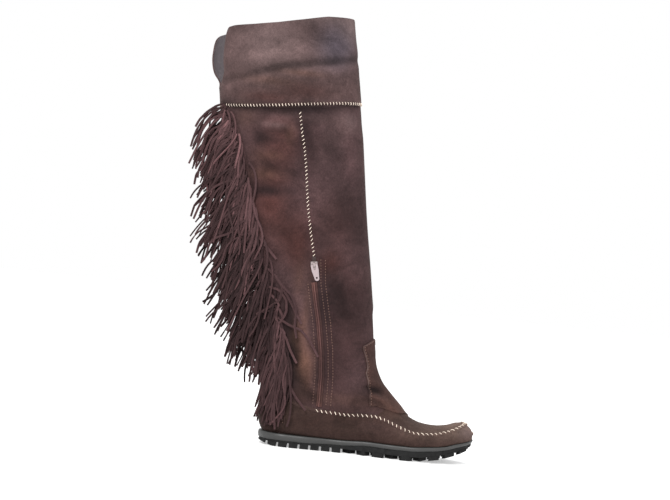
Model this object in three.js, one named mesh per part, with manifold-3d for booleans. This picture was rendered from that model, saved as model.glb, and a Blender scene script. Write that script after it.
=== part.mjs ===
// A tall left moccasin boot of suede with a fringe down its back, standing empty on its sole.
// Millimetres. +X points to the toe, +Y to the outer side of the left foot and +Z up.
// The origin is on the floor, under the middle of the heel.
import * as THREE from "three";
import { mergeVertices } from "three/addons/utils/BufferGeometryUtils.js";
import Module from "manifold-3d";

const wasm = await Module();
wasm.setup();

// Foot and sole sizes
const soleLength = 252;
const ballWidth = 89;
const heelWidth = 65;
const heelRadius = 33; // plan radius of the heel's end
const toeRadius = 84; // length of the toe's rounded end in plan
const heelToOrigin = 32; // from the heel's end to the origin
const heelStack = 15.5; // sole thickness under the heel
const ballStack = 16.5;
const toeStack = 10;
const heelBand = 8; // height of the smooth grey band above the tread
const ballBand = 5;
const toeBand = 3.5;
const toeSpring = 20;
const heelBevel = 4; // rise of the tread at the heel's end
const heelBevelLength = 22;
const treadInset = 1.2; // step between the band and the tread

// Tread sizes
const lugDepth = 5;
const lugBite = 0.2; // how far a lug runs into the sole above it
const barPitch = 12.6; // heel and waist bars
const barGap = 2.6;
const channelWidth = 3.2;
const barShare = 0.44; // share of the sole's length that has bars
const nubPitch = 16.5; // forefoot nubs, along the foot
const nubSpread = 20; // forefoot nubs, across the foot
const nubRadius = 7.6;
const nubStretch = 1.2; // a nub's size across the foot against that along it
const nubReach = 5; // nubs on each side of the middle one, at most
const nubEnd = 0.985; // where the nubs end, as a share of the sole's length
const toeLugLoss = 0.3; // share of a lug's depth that is gone at the toe

// Upper and shaft sizes
const wall = 2;
const instepHeight = 91.5; // from the sole's top to the bend of the ankle
const soleTuck = -0.033; // how far the foot's sections reach into the sole, as a share of that
const toeTipRise = 0.03; // height of the toe's tip above the sole's top, as a share of that
const shaftHeight = 394.5; // from that bend to the collar's front
const ankleDepth = 123;
const topDepth = 150;
const ankleWidth = 65;
const topWidth = 86;
const shaftLean = 66; // how far the shaft's front runs back on its way up
const sectionDrop = 62; // how much lower a section's back lies than its front, at the ankle
const cuffStep = 1.1; // the cuff's face stands this far outside the shaft's
const farFlapSpread = 10.5; // how far back the slit's outer corner stands
const nearFlapSpread = 6; // how far forward its inner corner stands
const slitWidth = 24; // the slit's mouth, across the foot
const slitFootWidth = 13;
const slitDepth = 90; // the slit's foot below the collar's front

// Overlays, seams and zip
const seamGap = 0.3;
const overlayThickness = 1.4;
const seamRidge = 1.2;
const seamWidth = 3.4;
const feltInsole = 2.6;
const zipSlot = 5;
const zipFlapWidth = 7.5;
const sliderLength = 9.5;
const sliderWidth = 7.6;
const sliderThickness = 3;
const sliderShoulder = 0.1; // where the slider starts to narrow, as a share of its length
const sliderNose = 0.62; // width of its lower end, as a share of its width
const bridgeRise = 3.4; // inside height of the arch on the slider
const bridgeWidth = 1.6;
const pullLength = 19;
const pullWidth = 8;
const pullEndWidth = 5;
const pullThickness = 1.3;
const pullEye = 5.4; // length of the window around the arch
const pullEyeTaper = 0.8; // width of the window's lower end, as a share of its upper one
const pullShoulder = 0.35; // where the pull starts to narrow, as a share of its length
const pullCorner = 1.4;
const pullHoleInset = 3.6;
const pullHoleRadius = 1.15;
const pullTurn = 12; // degrees that the pull hangs off the zip's line
const pullDip = 8; // degrees that its tip leans in to the suede

// Fringe
const fringeLength = 92;
const lockWidth = 9;
const lockThickness = 2.2;
const lockSweep = 0.43; // how far back a lock ends, as a share of its length
const topLockSweep = 0.32;
const lockFall = 0.82; // how far down it ends, as a share of its length
const lockRise = overlayThickness + 2 * seamGap + lockThickness * 0.45; // a lock's middle over the skin
const lockTaper = 0.6; // width of a lock's end, as a share of the rest
const lockDroop = 0.45; // share of a lock's fall that comes late along it
const lockGather = 0.5; // share of a root's distance from the mid-plane that its lock keeps
const sweepWave = 0.04; // how much the locks differ from each other, as shares
const fallWave = 0.05;
const lengthWave = 0.06;
const gatherWave = 0.3;
const locksPerSide = 12;
const locksFrom = 0.2; // the long locks' places along the root line, from the heel
const locksTo = 0.985;
const topLockLength = 0.75; // length of the highest lock, as a share of the others
const heelLocksPerSide = 3;
const heelLocksFrom = 0.03;
const heelLocksTo = 0.16;
const heelLockLength = 0.5; // the heel's locks, as shares of a long one: the lowest one's length
const heelLockGrowth = 0.09; // added to it by each next one
const heelLockSweep = 0.1;
const heelLockFan = 0.1; // added to the sweep by each next one
const heelLockFall = 0.95;
const heelLockWidth = 0.8;
const bandWidth = 7; // the fringe's sewn edge

const around = 20; // facets round a section
const far = 400; // reach of a cutting prism

const lerp = THREE.MathUtils.lerp;
const radians = THREE.MathUtils.degToRad;
const xAt = (share) => share * soleLength - heelToOrigin;

// Reads a table at a place along its first column: each other column is eased between rows.
function column(table, name, at) {
  const key = Object.keys(table[0])[0];
  if (at <= table[0][key]) return table[0][name];
  for (let i = 1; i < table.length; i++) {
    const low = table[i - 1];
    const high = table[i];
    if (at > high[key]) continue;
    const share = (at - low[key]) / (high[key] - low[key]);
    return lerp(low[name], high[name], share * share * (3 - 2 * share));
  }
  return table[table.length - 1][name];
}

// The sole's plan: shares of the ball's and heel's widths, and the mid-line's bend, also a share of
// the ball's width.
const planRows = [
  { at: 0.0, ball: 0.0, heel: 1.0, bend: 0.0 },
  { at: 0.2, ball: 0.0, heel: 1.0, bend: 0.01 },
  { at: 0.34, ball: 0.05, heel: 0.92, bend: 0.045 },
  { at: 0.48, ball: 0.55, heel: 0.4, bend: 0.056 },
  { at: 0.64, ball: 1.0, heel: 0.0, bend: 0.034 },
  { at: 0.76, ball: 1.0, heel: 0.0, bend: 0.006 },
  { at: 0.9, ball: 0.99, heel: 0.0, bend: -0.034 },
  { at: 1.0, ball: 0.97, heel: 0.0, bend: -0.046 },
];

// The sole's thickness and its band: shares of the heel's, ball's and toe's own values.
const stackRows = [
  { at: 0.0, heel: 1.0, ball: 0.0, toe: 0.0 },
  { at: 0.22, heel: 0.96, ball: 0.0, toe: 0.0 },
  { at: 0.36, heel: 0.5, ball: 0.42, toe: 0.0 },
  { at: 0.52, heel: 0.0, ball: 1.0, toe: 0.0 },
  { at: 0.76, heel: 0.0, ball: 1.0, toe: 0.0 },
  { at: 0.9, heel: 0.0, ball: 0.5, toe: 0.55 },
  { at: 1.0, heel: 0.0, ball: 0.0, toe: 1.0 },
];
const springStart = 0.69;

function planHalf(share, inset) {
  const end = Math.min(Math.max(share * soleLength, inset), soleLength - inset);
  const heel = Math.max(0, 1 - (end - inset) / (heelRadius - inset));
  const toe = Math.max(0, 1 - (soleLength - inset - end) / (toeRadius - inset));
  const body = column(planRows, "ball", share) * ballWidth + column(planRows, "heel", share) * heelWidth;
  return (body / 2 - inset) * Math.sqrt(1 - heel * heel) * Math.sqrt(1 - toe * toe);
}

const planBend = (share) => column(planRows, "bend", share) * ballWidth;

function treadHeight(share) {
  const bevel = Math.max(0, 1 - (share * soleLength) / heelBevelLength);
  return springOnly(share) + heelBevel * bevel ** 2;
}

function stackOf(share, heel, ball, toe) {
  return (
    column(stackRows, "heel", share) * heel +
    column(stackRows, "ball", share) * ball +
    column(stackRows, "toe", share) * toe
  );
}

const clampShare = (share) => Math.min(Math.max(share, 0), 1);
const springOnly = (share) => toeSpring * Math.max(0, (share - springStart) / (1 - springStart)) ** 2;
const lugTop = (share) =>
  springOnly(clampShare(share)) + lugDepth * (1 - toeLugLoss * Math.max(0, share) ** 4);
const featherHeight = (share) =>
  springOnly(clampShare(share)) + stackOf(clampShare(share), heelStack, ballStack, toeStack);
const bandBottom = (share) =>
  featherHeight(share) - stackOf(clampShare(share), heelBand, ballBand, toeBand);

// The foot's sections, from toe to ankle. Each runs from a point under the foot to a point over it:
// from and to are shares of the sole's length, low and high are heights above the sole's top as
// shares of the instep's height. Its width is a share of the sole's there and a share of the leg's
// at the ankle. mid is where the widest place lies on the way up, and round and crown are the
// exponents of the curves below and above it.
const footRows = [
  { from: 0.9968, low: -0.012, to: 0.9968, high: 0.07, foot: 1.0, mid: 0.42, round: 3.2, crown: 2.2 },
  { from: 0.988, low: -0.024, to: 0.988, high: 0.135, foot: 1.0, mid: 0.42, round: 3.8, crown: 2.3 },
  { from: 0.972, to: 0.972, high: 0.19, foot: 1.0, mid: 0.42, round: 4.6, crown: 2.4 },
  { from: 0.948, to: 0.948, high: 0.232, foot: 1.0, mid: 0.42, round: 5, crown: 2.45 },
  { from: 0.917, to: 0.917, high: 0.248, foot: 1.0, mid: 0.42, round: 5, crown: 2.5 },
  { from: 0.877, to: 0.877, high: 0.238, foot: 1.0, mid: 0.41, round: 5, crown: 2.5 },
  { from: 0.829, to: 0.829, high: 0.236, foot: 1.0, mid: 0.4, round: 5, crown: 2.5 },
  { from: 0.778, to: 0.778, high: 0.254, foot: 1.0, mid: 0.38, round: 5, crown: 2.4 },
  { from: 0.726, to: 0.73, high: 0.298, foot: 1.0, mid: 0.36, round: 5, crown: 2.25 },
  { from: 0.665, to: 0.684, high: 0.366, foot: 1.0, mid: 0.34, round: 5, crown: 2.1 },
  { from: 0.592, to: 0.65, high: 0.464, foot: 1.0, mid: 0.32, round: 5, crown: 2 },
  { from: 0.512, to: 0.613, high: 0.565, foot: 1.0, mid: 0.3, round: 5, crown: 1.95 },
  { from: 0.422, to: 0.581, high: 0.655, foot: 1.02, mid: 0.29, round: 5, crown: 1.95 },
  { from: 0.326, to: 0.553, high: 0.742, foot: 1.02, leg: 0.02, mid: 0.28, round: 4.8, crown: 2 },
  { from: 0.232, to: 0.53, high: 0.85, foot: 0.75, leg: 0.28, mid: 0.28, round: 4.3, crown: 2.05 },
  { from: 0.145, to: 0.514, high: 0.955, foot: 0.5, leg: 0.53, mid: 0.28, round: 3.6, crown: 2.1 },
  { from: 0.075, to: 0.507, high: 1.038, foot: 0.25, leg: 0.78, mid: 0.29, round: 3, crown: 2.15 },
  { from: 0.028, low: 0.0, to: 0.503, high: 1.113, leg: 1.02, mid: 0.3, round: 2.75, crown: 2.2 },
  { from: 0.006, low: 0.077, to: 0.4985, high: 1.18, leg: 1.01, mid: 0.31, round: 2.6, crown: 2.2 },
  { from: -0.003, low: 0.186, to: 0.4945, high: 1.251, leg: 1.0, mid: 0.33, round: 2.5, crown: 2.2 },
  { from: -0.004, low: 0.328, to: 0.49, high: 1.328, leg: 0.99, mid: 0.36, round: 2.4, crown: 2.2 },
  { from: 0.002, low: 0.492, to: 0.486, high: 1.41, leg: 0.98, mid: 0.4, round: 2.3, crown: 2.2 },
  { from: 0.012, low: 0.667, to: 0.481, high: 1.503, leg: 0.975, mid: 0.44, round: 2.25, crown: 2.2 },
  { from: 0.023, low: 0.852, to: 0.476, high: 1.607, leg: 0.975, mid: 0.47, round: 2.2, crown: 2.2 },
];

// The shaft's sections, from above the ankle to past the collar. up is a share of the shaft's height
// for the section's front, lean of the front's run back, and deep and wide mix the ankle's and the
// top's sizes. drop is a share of the ankle section's drop, and flare and near are shares of the
// spreads of the slit's outer and inner corners.
const shaftRows = [
  { up: 0.163, lean: 0.13, ankle: 0.9, top: 0.01, drop: 1.0, thin: 0.93, wide: 0.04, flare: 0 },
  { up: 0.198, lean: 0.167, ankle: 0.84, top: 0.06, drop: 0.93, thin: 0.86, wide: 0.13, flare: 0 },
  { up: 0.24, lean: 0.21, ankle: 0.74, top: 0.163, drop: 0.86, thin: 0.74, wide: 0.25, flare: 0 },
  { up: 0.285, lean: 0.256, ankle: 0.6, top: 0.313, drop: 0.79, thin: 0.6, wide: 0.39, flare: 0 },
  { up: 0.336, lean: 0.31, ankle: 0.44, top: 0.49, drop: 0.71, thin: 0.44, wide: 0.55, flare: 0 },
  { up: 0.392, lean: 0.37, ankle: 0.28, top: 0.668, drop: 0.64, thin: 0.28, wide: 0.7, flare: 0 },
  { up: 0.457, lean: 0.436, ankle: 0.14, top: 0.83, drop: 0.57, thin: 0.14, wide: 0.83, flare: 0 },
  { up: 0.523, lean: 0.497, ankle: 0.05, top: 0.953, drop: 0.51, thin: 0.05, wide: 0.91, flare: 0 },
  { up: 0.588, lean: 0.556, ankle: 0, top: 1.036, drop: 0.45, thin: 0, wide: 0.95, flare: 0 },
  { up: 0.656, lean: 0.62, ankle: 0, top: 1.072, drop: 0.39, thin: 0, wide: 0.97, flare: 0 },
  { up: 0.704, lean: 0.68, ankle: 0, top: 1.086, drop: 0.35, thin: 0, wide: 0.98, flare: 0 },
  { up: 0.766, lean: 0.742, ankle: 0, top: 1.09, drop: 0.3, thin: 0, wide: 0.99, flare: 0 },
  { up: 0.834, lean: 0.81, ankle: 0, top: 1.083, drop: 0.33, thin: 0, wide: 0.99, flare: 0.1, near: 0.35 },
  { up: 0.87, lean: 0.85, ankle: 0, top: 1.078, drop: 0.35, thin: 0, wide: 1.0, flare: 0.55, near: 1 },
  { up: 0.91, lean: 0.895, ankle: 0, top: 1.065, drop: 0.38, thin: 0, wide: 1.0, flare: 0.92, near: 0.85 },
  { up: 0.95, lean: 0.945, ankle: 0, top: 1.035, drop: 0.4, thin: 0, wide: 1.0, flare: 1.0, near: 0.5 },
  { up: 1.0, lean: 1.0, ankle: 0, top: 1.0, drop: 0.42, thin: 0, wide: 1.0, flare: 0.9, near: 0.2 },
  { up: 1.05, lean: 1.04, ankle: 0, top: 0.985, drop: 0.42, thin: 0, wide: 1.0, flare: 0.85 },
];
const ankleFront = 0.509; // where the shaft's front starts, as a share of the sole's length
const squareness = 2.2; // exponent of the shaft's oval

// Both tables as sections with real ends, widths and exponents.
function sections() {
  const foot = footRows.map((row) => ({
    back: [xAt(row.from), featherHeight(row.from) + (row.low ?? soleTuck) * instepHeight],
    front: [xAt(row.to), featherHeight(row.to) + row.high * instepHeight],
    half: (row.foot ?? 0) * planHalf(row.from, 0) + ((row.leg ?? 0) * ankleWidth) / 2,
    bend: planBend(clampShare(row.from)) * Math.min(1, (row.foot ?? 0) + 0.3),
    widest: row.mid,
    round: row.round,
    crown: row.crown,
    flare: 0,
    near: 0,
  }));
  const shaft = shaftRows.map((row) => {
    const frontX = xAt(ankleFront) - row.lean * shaftLean;
    const frontZ = heelStack + instepHeight + row.up * shaftHeight;
    const depth = row.ankle * ankleDepth + row.top * topDepth;
    return {
      back: [frontX - depth, frontZ - row.drop * sectionDrop],
      front: [frontX, frontZ],
      half: (row.thin * ankleWidth + row.wide * topWidth) / 2,
      bend: 0,
      widest: 0.5,
      round: squareness,
      crown: squareness,
      flare: row.flare,
      near: row.near ?? 0,
    };
  });
  return [...foot, ...shaft];
}

// A point of a section. turn runs from 0 at the back or underside, over the outer side, to the top.
function sectionPoint(section, turn) {
  const side = Math.sign(Math.sin(turn)) || 0;
  const cosine = Math.cos(turn);
  const lower = cosine > 0;
  const power = 2 / (lower ? section.round : section.crown);
  const reach = Math.abs(cosine) ** power;
  const share = lower ? section.widest * (1 - reach) : section.widest + (1 - section.widest) * reach;
  const half = section.half * Math.abs(Math.sin(turn)) ** power;
  const spread = side > 0 ? section.flare * farFlapSpread : section.near * nearFlapSpread;
  const flare = spread * side * Math.max(0, cosine) ** 3;
  return new THREE.Vector3(
    lerp(section.back[0], section.front[0], share) - flare,
    section.bend + side * half,
    lerp(section.back[1], section.front[1], share),
  );
}

const skinSections = sections();
const toeTip = new THREE.Vector3(xAt(1), planBend(1), featherHeight(1) + toeTipRise * instepHeight);

// The skin's points and outward normals on a grid of sections by turns.
const skin = skinSections.map((section) =>
  Array.from({ length: around }, (_, j) => ({ point: sectionPoint(section, (2 * Math.PI * j) / around) })),
);
skin.forEach((ring, i) =>
  ring.forEach((cell, j) => {
    const before = i ? skin[i - 1][j].point : toeTip;
    const after = skin[Math.min(i + 1, skin.length - 1)][j].point;
    const along = after.clone().sub(before);
    const across = ring[(j + 1) % around].point.clone().sub(ring[(j + around - 1) % around].point);
    cell.normal = along.cross(across).normalize();
    if (cell.normal.dot(cell.point.clone().sub(centreOf(skinSections[i]))) < 0) cell.normal.negate();
  }),
);

function centreOf(section) {
  return new THREE.Vector3(
    (section.back[0] + section.front[0]) / 2,
    section.bend,
    (section.back[1] + section.front[1]) / 2,
  );
}

// A closed solid from points and triangles.
function solid(points, triangles) {
  return new wasm.Manifold(
    new wasm.Mesh({
      numProp: 3,
      vertProperties: new Float32Array(points.flatMap((p) => [p.x, p.y, p.z])),
      triVerts: new Uint32Array(triangles.flat()),
    }),
  );
}

function solidOf(geometry) {
  const bare = geometry.clone();
  bare.deleteAttribute("normal");
  bare.deleteAttribute("uv");
  const merged = mergeVertices(bare, 1e-4);
  return new wasm.Manifold(
    new wasm.Mesh({
      numProp: 3,
      vertProperties: merged.attributes.position.array,
      triVerts: new Uint32Array(merged.index.array),
    }),
  );
}

// The boot's whole form as one closed solid, its skin moved out by an offset.
const forms = new Map();
function form(offset) {
  if (forms.has(offset)) return forms.get(offset);
  const moved = (cell) => cell.point.clone().addScaledVector(cell.normal, offset);
  const points = skin.flatMap((ring) => ring.map(moved));
  const triangles = [];
  const tip = points.push(toeTip.clone().add(new THREE.Vector3(offset, 0, 0))) - 1;
  const top = points.push(centreOf(skinSections[skinSections.length - 1])) - 1;
  const last = (skin.length - 1) * around;
  for (let j = 0; j < around; j++) {
    const next = (j + 1) % around;
    triangles.push([tip, next, j], [top, last + j, last + next]);
    for (let i = 0; i < skin.length - 1; i++) {
      const a = i * around + j;
      const b = i * around + next;
      triangles.push([a, b, b + around], [a, b + around, a + around]);
    }
  }
  let made = solid(points, triangles);
  if (made.volume() < 0) made = solid(points, triangles.map(([a, b, c]) => [a, c, b]));
  forms.set(offset, made);
  return made;
}

const layer = (inner, outer) => form(outer).subtract(form(inner));

// A prism across the foot from a side outline of [x, z] points, from one y to another.
function sidePrism(outline, from = -far, to = far) {
  const shape = new THREE.Shape(outline.map(([x, z]) => new THREE.Vector2(x, z)));
  const geometry = new THREE.ExtrudeGeometry(shape, { depth: to - from, bevelEnabled: false });
  geometry.rotateX(Math.PI / 2).translate(0, to, 0);
  return solidOf(geometry);
}

// A prism upwards from a plan outline of [x, y] points.
function planPrism(outline, from = -far, to = far) {
  const shape = new THREE.Shape(outline.map(([x, y]) => new THREE.Vector2(x, y)));
  const geometry = new THREE.ExtrudeGeometry(shape, { depth: to - from, bevelEnabled: false });
  return solidOf(geometry.translate(0, 0, from));
}

// The band between a side line and the same line moved across itself, both ways.
function band(line, below, above) {
  const moved = (by) =>
    line.map((p, i) => {
      const a = line[Math.max(i - 1, 0)];
      const b = line[Math.min(i + 1, line.length - 1)];
      const length = Math.hypot(b[0] - a[0], b[1] - a[1]);
      return [p[0] - (by * (b[1] - a[1])) / length, p[1] + (by * (b[0] - a[0])) / length];
    });
  return [...moved(-below), ...moved(above).reverse()];
}

// Side lines of the seams and edges. Foot lines hold x as shares of the sole's length and heights
// above the sole's top as shares of the instep's height. Shaft lines hold heights as shares of the
// shaft's height above the ankle, and places from back to front as shares of the section there.
const footLine = (rows) => rows.map(([at, up]) => [xAt(at), featherHeight(at) + up * instepHeight]);

function shaftPoint(up, across) {
  const all = skinSections;
  const z = heelStack + instepHeight + up * shaftHeight;
  for (let i = 1; i < all.length; i++) {
    const heights = [all[i - 1], all[i]].map((s) => lerp(s.back[1], s.front[1], across));
    if (heights[1] < z && i < all.length - 1) continue;
    const share = (z - heights[0]) / (heights[1] - heights[0]);
    const ends = [all[i - 1], all[i]].map((s) => lerp(s.back[0], s.front[0], across));
    return [lerp(ends[0], ends[1], share), z];
  }
  return null;
}

const shaftLine = (rows) => rows.map(([up, across]) => shaftPoint(up, across));

// The stitched seam where the moccasin foot meets the shaft and, ahead of it, the toe's plug
const mocSeam = footLine([
  [0.13, 0.43],
  [0.2, 0.375],
  [0.27, 0.345],
  [0.34, 0.34],
  [0.41, 0.325],
  [0.47, 0.325],
  [0.53, 0.325],
  [0.575, 0.3],
  [0.625, 0.255],
  [0.67, 0.21],
  [0.72, 0.17],
  [0.775, 0.16],
  [0.83, 0.165],
  [0.885, 0.185],
  [0.925, 0.203],
  [0.95, 0.22],
  [0.968, 0.265],
  [0.98, 0.32],
]);
const joinStart = mocSeam.slice(0, 7);
const instepJoin = footLine([
  [0.6, 0.48],
  [0.66, 0.56],
  [0.72, 0.62],
]);
const counterEdge = footLine([
  [0.128, -0.1],
  [0.124, 0.12],
  [0.116, 0.35],
  [0.112, 0.62],
]);
const overlayBack = footLine([
  [0.62, 0.4],
  [0.535, 0.455],
  [0.502, 0.44],
  [0.494, 0.64],
  [0.467, 0.86],
  [0.471, 0.93],
  [0.459, 1.05],
  [0.441, 1.2],
  [0.5, 1.3],
  [0.56, 1.37],
]);
const overlayFront = footLine([
  [0.8, 1.2],
  [0.8, 0.5],
  [0.74, 0.33],
  [0.68, 0.385],
]);
const rootLine = shaftLine([
  [-0.07, 0.185],
  [0.0, 0.16],
  [0.08, 0.1],
  [0.18, 0.1],
  [0.29, 0.11],
  [0.4, 0.12],
  [0.52, 0.13],
  [0.6, 0.125],
  [0.68, 0.095],
  [0.715, 0.03],
]);
const cuffSeam = [
  [-far, heelStack + instepHeight + 0.6 * shaftHeight],
  ...[
    [0.716, -0.03],
    [0.716, 0.06],
    [0.72, 0.24],
    [0.727, 0.4],
    [0.738, 0.6],
    [0.75, 0.8],
    [0.762, 1.02],
  ].map(([up, across]) => shaftPoint(up, across)),
  [far, heelStack + instepHeight + 0.79 * shaftHeight],
];
const collarEdge = [
  [0.915, -0.1],
  [0.937, 0.0],
  [0.948, 0.03],
  [0.953, 0.08],
  [0.96, 0.24],
  [0.971, 0.42],
  [0.986, 0.6],
  [1.004, 0.8],
  [1.009, 0.93],
  [1.012, 1.02],
].map(([up, across]) => shaftPoint(up, across));
const zipLine = footLine([
  [0.176, 2.29],
  [0.188, 1.966],
  [0.209, 1.71],
  [0.23, 1.47],
  [0.253, 1.12],
  [0.267, 0.78],
  [0.27, 0.4],
]);

// Where a side place meets the skin on one side: its point and normal.
function onSkin(x, z, side, offset = 0) {
  const columns = Array.from({ length: around / 2 }, (_, j) => (side > 0 ? j : around - 1 - j));
  for (let i = skin.length - 2; i >= 0; i--) {
    for (const j of columns) {
      const next = (j + 1) % around;
      for (const [a, b, c] of [
        [skin[i][j], skin[i][next], skin[i + 1][next]],
        [skin[i][j], skin[i + 1][next], skin[i + 1][j]],
      ]) {
        const shares = barycentric(x, z, a.point, b.point, c.point);
        if (Math.min(...shares) < -1e-6) continue;
        const blend = (name) =>
          new THREE.Vector3()
            .addScaledVector(a[name], shares[0])
            .addScaledVector(b[name], shares[1])
            .addScaledVector(c[name], shares[2]);
        const normal = blend("normal").normalize();
        return { point: blend("point").addScaledVector(normal, offset), normal };
      }
    }
  }
  return null;
}

function barycentric(x, z, a, b, c) {
  const area = (b.x - a.x) * (c.z - a.z) - (c.x - a.x) * (b.z - a.z);
  const first = ((b.x - x) * (c.z - z) - (c.x - x) * (b.z - z)) / area;
  const second = ((c.x - x) * (a.z - z) - (a.x - x) * (c.z - z)) / area;
  return [first, second, 1 - first - second];
}

const shifted = (line, dz) => line.map(([x, z]) => [x, z + dz]);
const union = (solids) => solids.reduce((sum, next) => sum.add(next));

// Sole

const planSteps = 18;
function planOutline(inset) {
  const outline = [];
  for (let k = 0; k <= planSteps; k++) {
    const at = (1 - Math.cos((Math.PI * k) / planSteps)) / 2;
    const x = inset + at * (soleLength - 2 * inset);
    outline.push([x - heelToOrigin, planBend(x / soleLength), planHalf(x / soleLength, inset)]);
  }
  const medial = outline.map(([x, bend, half]) => [x, bend - half]);
  const lateral = outline.slice(1, -1).map(([x, bend, half]) => [x, bend + half]);
  return [...medial, ...lateral.reverse()];
}

// A height that changes along the foot, as a side line from heel to toe
const soleSteps = 12;
const soleStations = Array.from({ length: soleSteps + 1 }, (_, k) => lerp(-0.01, 1.01, k / soleSteps));
soleStations.push(heelBevelLength / soleLength);
soleStations.sort((a, b) => a - b);
const heightLine = (height) => soleStations.map((share) => [xAt(share), height(share)]);

// The part of a plan outline between two heights that change along the foot
function soleLayer(inset, bottom, top) {
  const side = [...heightLine(bottom), ...heightLine(top).reverse()];
  return planPrism(planOutline(inset)).intersect(sidePrism(side));
}

function midsole() {
  return soleLayer(0, (share) => bandBottom(share) + seamGap / 2, featherHeight);
}

// A forefoot nub: four-sided, longer across the foot than along it
function nub(x, y) {
  const across = nubStretch * nubRadius;
  return planPrism([[x - nubRadius, y], [x, y - across], [x + nubRadius, y], [x, y + across]]);
}

function lugs() {
  const prisms = [];
  const bars = Math.floor((barShare * soleLength) / barPitch);
  for (let k = 0; k < bars; k++) {
    const start = k * barPitch - heelToOrigin - (k ? 0 : barGap);
    const end = (k + 1) * barPitch - barGap - heelToOrigin;
    const half = heelWidth / 6 - channelWidth / 2;
    for (const row of [-1, 0, 1]) {
      const middle = planBend((k * barPitch) / soleLength) + (row * heelWidth) / 3;
      const outer = row ? heelWidth / 3 : half;
      const low = row < 0 ? middle - outer : middle - half;
      const high = row > 0 ? middle + outer : middle + half;
      prisms.push(planPrism([[start, low], [end, low], [end, high], [start, high]]));
    }
  }
  const first = bars * barPitch - heelToOrigin + nubRadius;
  for (let row = 0; first + row * nubPitch < xAt(nubEnd); row++) {
    const x = first + row * nubPitch;
    const share = (x + heelToOrigin) / soleLength;
    const reach = planHalf(share, treadInset) + nubRadius / 2;
    for (let k = -nubReach; k <= nubReach; k++) {
      const y = (k + (row % 2) / 2) * nubSpread;
      if (Math.abs(y) > reach) continue;
      prisms.push(nub(x, y + planBend(share)));
    }
  }
  const depth = soleLayer(treadInset / 2, treadHeight, (share) => lugTop(share) + lugBite);
  return union(prisms).intersect(depth);
}

function outsole() {
  const base = soleLayer(treadInset, lugTop, (share) => bandBottom(share) - seamGap / 2);
  return base.add(lugs());
}

function insole() {
  const floor = shifted(heightLine(featherHeight), seamGap);
  return form(-wall - seamGap).intersect(sidePrism([...floor, ...shifted(floor, feltInsole).reverse()]));
}

// Upper, shaft and cuff, cut from one shell along their seams

const joinLine = [[-far, mocSeam[0][1]], ...joinStart, ...instepJoin, [far, instepJoin[2][1]]];

function upper() {
  const floor = shifted(heightLine(featherHeight), seamGap);
  const ends = [floor[0][1], floor[floor.length - 1][1]];
  const join = shifted(joinLine, -seamGap / 2).reverse();
  const side = [[-far, ends[0]], ...floor, [far, ends[1]], ...join];
  return layer(-wall, 0).intersect(sidePrism(side));
}

function shaft() {
  const side = [...shifted(joinLine, seamGap / 2), ...shifted(cuffSeam, -seamGap / 2).reverse()];
  const slot = sidePrism(band(zipLine, zipSlot / 2, zipSlot / 2), -far, 0);
  return layer(-wall, 0).intersect(sidePrism(side)).subtract(slot);
}

function slit() {
  const topZ = heelStack + instepHeight + shaftHeight;
  const wedge = new THREE.Shape([
    new THREE.Vector2(-slitFootWidth / 2, topZ - slitDepth),
    new THREE.Vector2(slitFootWidth / 2, topZ - slitDepth),
    new THREE.Vector2(slitWidth / 2, topZ),
    new THREE.Vector2(slitWidth / 2, topZ + far),
    new THREE.Vector2(-slitWidth / 2, topZ + far),
    new THREE.Vector2(-slitWidth / 2, topZ),
  ]);
  const geometry = new THREE.ExtrudeGeometry(wedge, { depth: far, bevelEnabled: false });
  const middle = shaftPoint(0.9, 0.5)[0];
  geometry.rotateX(Math.PI / 2).rotateZ(-Math.PI / 2).translate(middle, 0, 0);
  return solidOf(geometry);
}

function cuff() {
  const seam = shifted(cuffSeam, seamGap / 2);
  const ends = [collarEdge[0][1], collarEdge[collarEdge.length - 1][1]];
  const side = [...seam, [far, ends[1]], ...collarEdge.slice().reverse(), [-far, ends[0]]];
  return layer(cuffStep - wall, cuffStep).intersect(sidePrism(side)).subtract(slit());
}

// Overlays that lie on the shell

function overlay(outline, thickness, from, to) {
  return layer(seamGap, seamGap + thickness).intersect(sidePrism(outline, from, to));
}

const mocSeamRidge = () => overlay(band(mocSeam, seamWidth / 2, seamWidth / 2), seamRidge);
const ankleOverlay = () => overlay([...overlayBack, ...overlayFront], overlayThickness);

function heelCounter() {
  const top = counterEdge[counterEdge.length - 1][1];
  const foot = featherHeight(0) + seamGap;
  const outline = [[-far, top], [-far, foot], [counterEdge[0][0], foot], ...counterEdge.slice(1)];
  return overlay(outline, overlayThickness);
}

function zipFlap() {
  const half = zipFlapWidth / 2;
  return overlay(band(zipLine.slice(1), half, half), overlayThickness, -far, 0);
}

// The closed zip fills the shaft's slot, short of both its ends by the seam gap
function zipTape() {
  const half = zipSlot / 2 - seamGap;
  const first = towards(zipLine[0], zipLine[1]);
  const last = towards(zipLine.at(-1), zipLine.at(-2));
  const line = [first, ...zipLine.slice(1, -1), last];
  return layer(-wall, 0).intersect(sidePrism(band(line, half, half), -far, 0));
}

// A side point moved by the seam gap towards another
function towards(from, to) {
  const share = seamGap / Math.hypot(to[0] - from[0], to[1] - from[1]);
  return [0, 1].map((k) => lerp(from[k], to[k], share));
}

// Fringe

// A side line's place at a share of its length
function alongLine(line, share) {
  const lengths = line.slice(1).map((p, i) => Math.hypot(p[0] - line[i][0], p[1] - line[i][1]));
  let left = share * lengths.reduce((a, b) => a + b);
  for (let i = 0; i < lengths.length; i++) {
    if (left <= lengths[i] || i === lengths.length - 1) {
      return [0, 1].map((k) => lerp(line[i][k], line[i + 1][k], left / lengths[i]));
    }
    left -= lengths[i];
  }
  return line[line.length - 1];
}

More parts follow.
